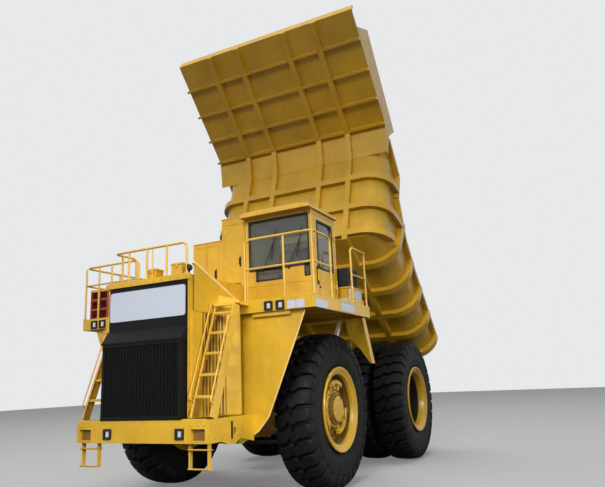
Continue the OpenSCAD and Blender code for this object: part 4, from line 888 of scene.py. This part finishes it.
strip.box((x0 - 0.006, y0 - 0.006, 3.705), (x0 + 0.004, -0.7, 3.751), 0.003)
strip.box((x0, y0, 3.744), (-1.3, -0.7, 3.751), 0.003)
put(s, "grid_fins", "red_paint")
put(dark, "grid_backs", "black_paint", mat=CORE_BLACK)
put(strip, "grid_top", "rail_paint")

# Cab
CAB_SIDE = 2.19
CAB_FRONT, CAB_REAR = -1.2, -0.24
CAB_TOP = 4.74
CAB_FLOOR = DECK_TOP + 0.092
DRIVER_X = 1.72
LAP = 0.016


def window_seal(shape, x0, x1, z0, z1, place, r_out=0.02, r_in=0.05, w=0.03):
    """A seal of width w that laps over a window's edge."""
    shape.frame(x0 - LAP, x1 + LAP, z0 - LAP, z1 + LAP, r_out, w, r_in, 0.01, place)


# Outside of the cab
seal, trim = Shape(), Shape()
face = CAB_FRONT
front = front_at(face + 0.002)
window_seal(seal, 0.93, 2.11, 3.79, 4.68, front)
window_seal(seal, 1.07, 1.6, 3.6, 3.786, front, 0.015, 0.03)
window_seal(seal, 2.03, 2.11, 3.6, 3.786, front, 0.01, 0.015, 0.022)
# wipers
for x, tip in ((1.2, 1.42), (1.72, 1.94)):
    seal.rod((x, face - 0.004, 3.77), (x, face - 0.022, 3.77), 0.022)
    seal.tube([(x, face - 0.018, 3.77), (tip, face - 0.02, 4.23)], 0.007)
    seal.box((-0.009, -0.006, -0.26), (0.009, 0.006, 0.26), 0.003, at(tip, face - 0.014, 4.2, 14, "Y"))
window_seal(seal, 1.0, 2.04, 3.94, 4.58, at(0, CAB_REAR - 0.002, 0, -90) @ Matrix.Diagonal((1, -1, 1, 1)))
put(seal, "cab_seals", "dark_plastic")
# gutter under the roof's edge, corner beads and panel joints
z = CAB_TOP + 0.012
trim.tube([(2.226, -1.384, z), (2.226, -0.226, z)], 0.012)
trim.tube([(0.846, -1.384, z), (2.226, -1.384, z)], 0.012)
for x in (0.862, 2.178):
    trim.rod((x, face - 0.002, 3.18), (x, face - 0.002, 4.738), 0.012)
trim.box((0.86, face - 0.006, 3.5), (2.18, face + 0.002, 3.512))
trim.bolts(9, (0.92, face, 3.225), (0.15, 0, 0), FRONT, 0.009)
trim.bolts(6, (0.98, -1.39, CAB_TOP + 0.034), (0.22, 0, 0), FRONT, 0.008)
put(trim, "cab_trim")
# door: rounded window seal, handle with its plate
leaf = Shape()
x = CAB_SIDE + 0.001
window_seal(leaf, -1.022, -0.418, 3.73, 4.572, left_at(x), 0.02, 0.1)
leaf.box((x, -1.1, 3.44), (x + 0.007, -1.02, 3.76), 0.003)
leaf.rod((x + 0.003, -0.99, 3.4), (x + 0.019, -0.99, 3.4), 0.016)
put(leaf, "door_seal", "dark_plastic", "door")


def pad(half, crown, cuts=10, power=4.0):
    """A crowned cushion about its own middle, whose sides pull in between the corners."""
    bm = bmesh.new()
    bmesh.ops.create_cube(bm, size=2.0)
    bmesh.ops.subdivide_edges(bm, edges=bm.edges, cuts=cuts, use_grid_fill=True)
    for v in bm.verts:
        x, y, z = v.co
        r = (abs(x) ** power + abs(y) ** power + abs(z) ** power) ** (1 / power)
        x, y, z = x / r, y / r, z / r
        waist = 1 - 0.05 * (1 - y * y) * abs(x) - 0.05 * (1 - x * x) * abs(y)
        rise = crown * (1 - x * x) * (1 - y * y) if z > 0 else 0.0
        v.co = (x * half[0] * waist, y * half[1] * waist, z * half[2] + rise)
    mesh = bpy.data.meshes.new("pad")
    bm.to_mesh(mesh)
    bm.free()
    mesh.polygons.foreach_set("use_smooth", [True] * len(mesh.polygons))
    return mesh


# Inside of the cab
s = Shape()
x, f, front = DRIVER_X, CAB_FLOOR, CAB_FRONT
# pedestal with bellows, console with hooded gauges, and the column
for k in range(5):
    w, z = 0.13 - 0.012 * (k % 2), f + k * 0.05
    s.box((x - w, -0.77, z + 0.01), (x + w, -0.47, z + 0.055), 0.012)
s.box((x - 0.3, front + 0.06, f), (x + 0.25, front + 0.2, f + 0.38), 0.03)
s.box((x - 0.29, front + 0.07, f + 0.36), (x + 0.24, front + 0.25, f + 0.42), 0.02)
lean = at(x, front + 0.24, f + 0.38, -55)
s.rod((0, 0, 0), (0, 0, 0.195), 0.024, m=lean)
s.tube([(0.198 * cos(a), 0.198 * sin(a), 0.2) for a in arc(0, 360, 40)], 0.014, m=lean)
s.rod((0, 0, 0.185), (0, 0, 0.212), 0.05, 24, 0.006, lean)
for u, v in circle(1.0, 3, 90):
    s.tube([(0.03 * u, 0.03 * v, 0.195), (0.19 * u, 0.19 * v, 0.2)], 0.01, m=lean)
for a in (-0.235, 0.235):
    s.tube([(x + a, -0.5, f + 0.46), (x + a, -0.78, f + 0.56)], 0.022)
s.box((1.01, -0.79, f), (1.34, -0.43, f + 0.32), 0.02)
put(s, "cab_console", "dark_plastic", replaces="cab_interior")
pads = [
    ("seat_cushion", (0.245, 0.215, 0.055), 0.022, at(x, -0.62, f + 0.335)),
    ("seat_back", (0.225, 0.3, 0.042), 0.018, at(x, -0.378, f + 0.69, 96.5)),
    ("trainer_seat", (0.165, 0.175, 0.04), 0.015, at(1.175, -0.61, f + 0.365))
]
for name, half, crown, place in pads:
    mesh = pad(half, crown)
    mesh.transform(place)
    put(mesh, name, "dark_plastic", mat=SEAT_CLOTH)

# Boxes behind the cab: a dark one over a painted one with white plates, and a small one
low, dark, white = Shape(), Shape(), Shape()
low.box((1.7, -0.15, DECK_TOP), (2.385, 0.43, 3.48), 0.012)
low.box((1.71, -0.16, 3.462), (2.395, 0.43, 3.5), 0.006)
low.box((2.25, 0.06, DECK_TOP), (2.425, 0.425, 3.29), 0.008)
dark.box((1.73, -0.13, 3.495), (2.37, 0.29, 3.8), 0.015)
dark.box((1.724, -0.136, 3.78), (2.376, 0.296, 3.85), 0.012)
for y in (-0.06, 0.19):
    dark.box((2.366, y, 3.56), (2.384, y + 0.036, 3.82), 0.004)
    dark.rod((2.38, y + 0.004, 3.7), (2.38, y + 0.032, 3.7), 0.012)
handle = [(2.372, 0.03, 3.62), (2.392, 0.03, 3.62), (2.392, 0.13, 3.62), (2.372, 0.13, 3.62)]
dark.tube(handle, 0.007, 0.01)
white.plate(-0.125, 0.405, 3.3, 3.452, 0.012, 0.004, left_at(2.3845))
white.plate(-0.125, 0.045, 3.19, 3.292, 0.012, 0.004, left_at(2.3845))
for x in (1.98, 2.18):
    white.plate(x, x + 0.17, 3.215, 3.29, 0.008, 0.003, front_at(-0.1495))
put(low, "deck_box_low", replaces="deck_boxes")
put(dark, "deck_box_high", "dark_plastic")
put(white, "deck_box_plates", "white_paint", mat=SIGN_WHITE)

# Bed details, placed in the lowered bed and turned up with it
BED_TILT = 41.0
HINGE = Vector((0, 4.4, 2.3))
RAISED = at(*HINGE, -BED_TILT) @ at(*-HINGE)
CANOPY_TIP = Vector((0, -3.219, 5.592))
CANOPY_END = Vector((0, -0.52, 5.23))
BED_TOE = Vector((0, 0.86, 2.73))
BED_TAIL = Vector((0, 5.02, 2.9))
BED_NECK = Vector((0, -0.1, 4.81))
LONG_RIBS = (-1.44, -0.654, 0.654, 1.44)
CROSS_RIBS = (0.625, 1.33, 2.035, 2.665)
RIB_SIDE = 0.065


def along(start, end):
    """A frame whose Y runs from start to end in the raised bed, Z away from the underside."""
    d = end - start
    return RAISED @ at(*start, degrees(atan2(d.z, d.y)))


def weld(shape, place, a, b):
    """A weld bead between two points of a frame."""
    shape.tube([a, b], 0.009, sides=6, m=place)


# Welds of the bed
s = Shape()
place = along(CANOPY_TIP, CANOPY_END)
# weld beads beside the long ribs, broken at the cross ribs, and gussets between the two
stops = (0.07, *CROSS_RIBS, (CANOPY_END - CANOPY_TIP).length)
for x, way in product(LONG_RIBS, (-1, 1)):
    u = x + way * RIB_SIDE
    for a, b in zip(stops, stops[1:]):
        weld(s, place, (u, a + 0.055, 0.13), (u, b - 0.01, 0.13))
    for c in CROSS_RIBS[:3]:
        turn = place @ Matrix(((way, 0, 0, u), (0, 0, 1, c + 0.019), (0, 1, 0, 0), (0, 0, 0, 1)))
        s.prism([(0, 0.03), (0, 0.129), (0.11, 0.129)], 0.012, turn)
stops = (-2.395, *LONG_RIBS, 2.395)
for c, edge in product(CROSS_RIBS, (0, 0.05)):
    for a, b in zip(stops, stops[1:]):
        weld(s, place, (a + 0.07, c + edge, 0.13), (b - 0.07, c + edge, 0.13))
for end, stop, z in ((BED_TAIL, 4.16, 0.13), (BED_NECK, 2.26, -0.13)):
    place = along(BED_TOE, end)
    for x, side in product(LONG_RIBS, (-RIB_SIDE, RIB_SIDE)):
        weld(s, place, (x + side, 0.16, z), (x + side, stop, z))
put(s, "bed_welds", "body_paint", "bed")

HOIST_X = 0.67
HOIST_LOW = Vector((0, 1.6, 0.95))
HOIST_HIGH = Vector((0, 3.4385, 3.4803))

# Hoists
for side, letter, word in SIDES:
    low, high = (Vector((side * HOIST_X, p.y, p.z)) for p in (HOIST_LOW, HOIST_HIGH))
    s = Shape()
    # gland with bolts at the barrel's mouth, bands at the middle and the foot
    place = pointing(low, high - low, "X", "Z")
    s.lathe([(1.47, 0.119), (1.48, 0.138), (1.556, 0.138), (1.566, 0.128), (1.566, 0.084), (1.54, 0.084),
             (1.54, 0.119)], place, 48)
    s.lathe([(0.14, 0.119), (0.15, 0.13), (0.2, 0.13), (0.21, 0.119)], place, 48)
    s.lathe([(0.9, 0.119), (0.905, 0.126), (0.935, 0.126), (0.94, 0.119)], place, 48)
    s.bolt_ring(8, 1.566, 0.108, 0.008, place)
    # pipe along the barrel
    s.tube([(0.26, 0.119, 0), (0.26, 0.15, 0), (1.42, 0.15, 0), (1.42, 0.119, 0)], 0.013, 0.02, m=place)
    put(s, "hoist_gland_" + letter, "body_paint", "barrel_" + letter)
    s = Shape()
    s.rod((-0.07, 0, 0), (0.07, 0, 0), 0.056, 32, 0.006, at(*high))
    put(s, "hoist_pin_" + letter, "chrome_rod", "rod_" + letter)

# Struts, rails and tanks
s = Shape()
x, rear = KINGPIN_X, 4.71
for m in MIRROR:
    # strut collars with cap bolts
    for z0, z1, r in ((1.962, 2.03, 0.146), (2.56, 2.6, 0.142), (2.69, 2.728, 0.146)):
        s.rod((x, 0, z0), (x, 0, z1), r, 40, 0.006, m)
    s.bolt_ring(8, 2.728, 0.1, 0.012, m @ at(x, 0, 0) @ UPRIGHT)
    for z, y in product((2.18, 2.32, 2.46), (-0.12, 0.12)):
        s.bolt((0.96, -0.17, z), FRONT, 0.014, m)
        s.bolt((0.7, y, 2.56), UP, 0.014, m)
    # bolts of the rails' flanges, lower behind the cross member
    s.bolts(4, (0.5, -2.3, 1.18), (0, 0.31, 0), OUT, 0.012, m)
    s.bolts(10, (0.5, -1.06, 1.12), (0, 0.31, 0), OUT, 0.012, m)
    # rear strut collars
    for z0, z1 in ((1.605, 1.66), (2.11, 2.158)):
        s.rod((0.25, rear, z0), (0.25, rear, z1), 0.104, 32, 0.005, m)
    # straps, cap and gauge of the tanks
    for y in (1.85, 2.34):
        s.box((1.364, y, 0.865), (1.376, y + 0.06, 1.484), 0.004, m)
        s.box((0.812, y, 1.476), (1.374, y + 0.06, 1.487), 0.004, m)
    s.rod((1.09, 2.2, 1.52), (1.09, 2.2, 1.556), 0.074, 24, 0.008, m)
    s.box((1.368, 2.1, 0.98), (1.382, 2.15, 1.36), 0.004, m)
put(s, "chassis_trim", "dark_iron")

# Stage and light
FLOOR_HALF = 60.0

# The floor lights the truck as a dark one would, and the camera sees it as a pale one
mesh = bpy.data.meshes.new("floor")
a = FLOOR_HALF
mesh.from_pydata([(-a, -a, 0), (a, -a, 0), (a, a, 0), (-a, a, 0)], [], [(0, 1, 2, 3)])
floor = add_object("floor", mesh)
mat, tree, shader = new_material("floor_pale")
feed(shader, {"Base Color": (0.17, 0.17, 0.165), "Roughness": 0.7})
shown = add_node(tree, "BsdfDiffuse", {"Color": (0.3, 0.3, 0.295)})
glow = add_node(tree, "Emission", {"Color": (0.8, 0.81, 0.81), "Strength": 0.21})
lit = add_node(tree, "AddShader", {0: shown.outputs[0], 1: glow.outputs[0]})
seen = tree.nodes.new("ShaderNodeLightPath").outputs["Is Camera Ray"]
mix = add_node(tree, "MixShader", {0: seen, 1: shader.outputs[0], 2: lit.outputs[0]})
feed(tree.nodes["Material Output"], {"Surface": mix.outputs[0]})
mesh.materials.append(mat)

# The world lights dimly, and the camera, gloss and glass see it as a pale backdrop
world = bpy.data.worlds.new("world")
bpy.context.scene.world = world
world.use_nodes = True
tree = world.node_tree
back = feed(tree.nodes["Background"], {"Color": (0.95, 0.97, 1.0), "Strength": 0.34})
shown = add_node(tree, "Background", {"Color": (0.8, 0.81, 0.82), "Strength": 1.0})
path = tree.nodes.new("ShaderNodeLightPath")
seen = path.outputs["Is Camera Ray"]
for ray in ("Is Glossy Ray", "Is Transmission Ray"):
    either = add_node(tree, "Math", {0: seen, 1: path.outputs[ray]})
    either.operation = "MAXIMUM"
    seen = either.outputs[0]
mix = add_node(tree, "MixShader", {0: seen, 1: back.outputs[0], 2: shown.outputs[0]})
feed(tree.nodes["World Output"], {"Surface": mix.outputs[0]})


def area_light(name, place, target, size, watts, spread=180.0, mirrored=True):
    data = bpy.data.lights.new(name, "AREA")
    data.shape = "DISK"
    data.size = size
    data.energy = watts
    data.spread = radians(spread)
    lamp = add_object(name, data)
    lamp.visible_glossy = mirrored
    lamp.location = place
    lamp.rotation_euler = (Vector(target) - Vector(place)).to_track_quat("-Z", "Y").to_euler()


area_light("roof", (0, -3.0, 42.0), (0, -3.0, 0), 30.0, 14000, mirrored=False)
area_light("key", (5.0, -21.0, 12.0), (0.6, -3.6, 1.9), 8.0, 430, 64.0)
area_light("side", (16.0, -8.0, 5.0), (1.0, -3.8, 1.8), 6.0, 95, 40.0)

bpy.context.scene.view_settings.view_transform = "Standard"
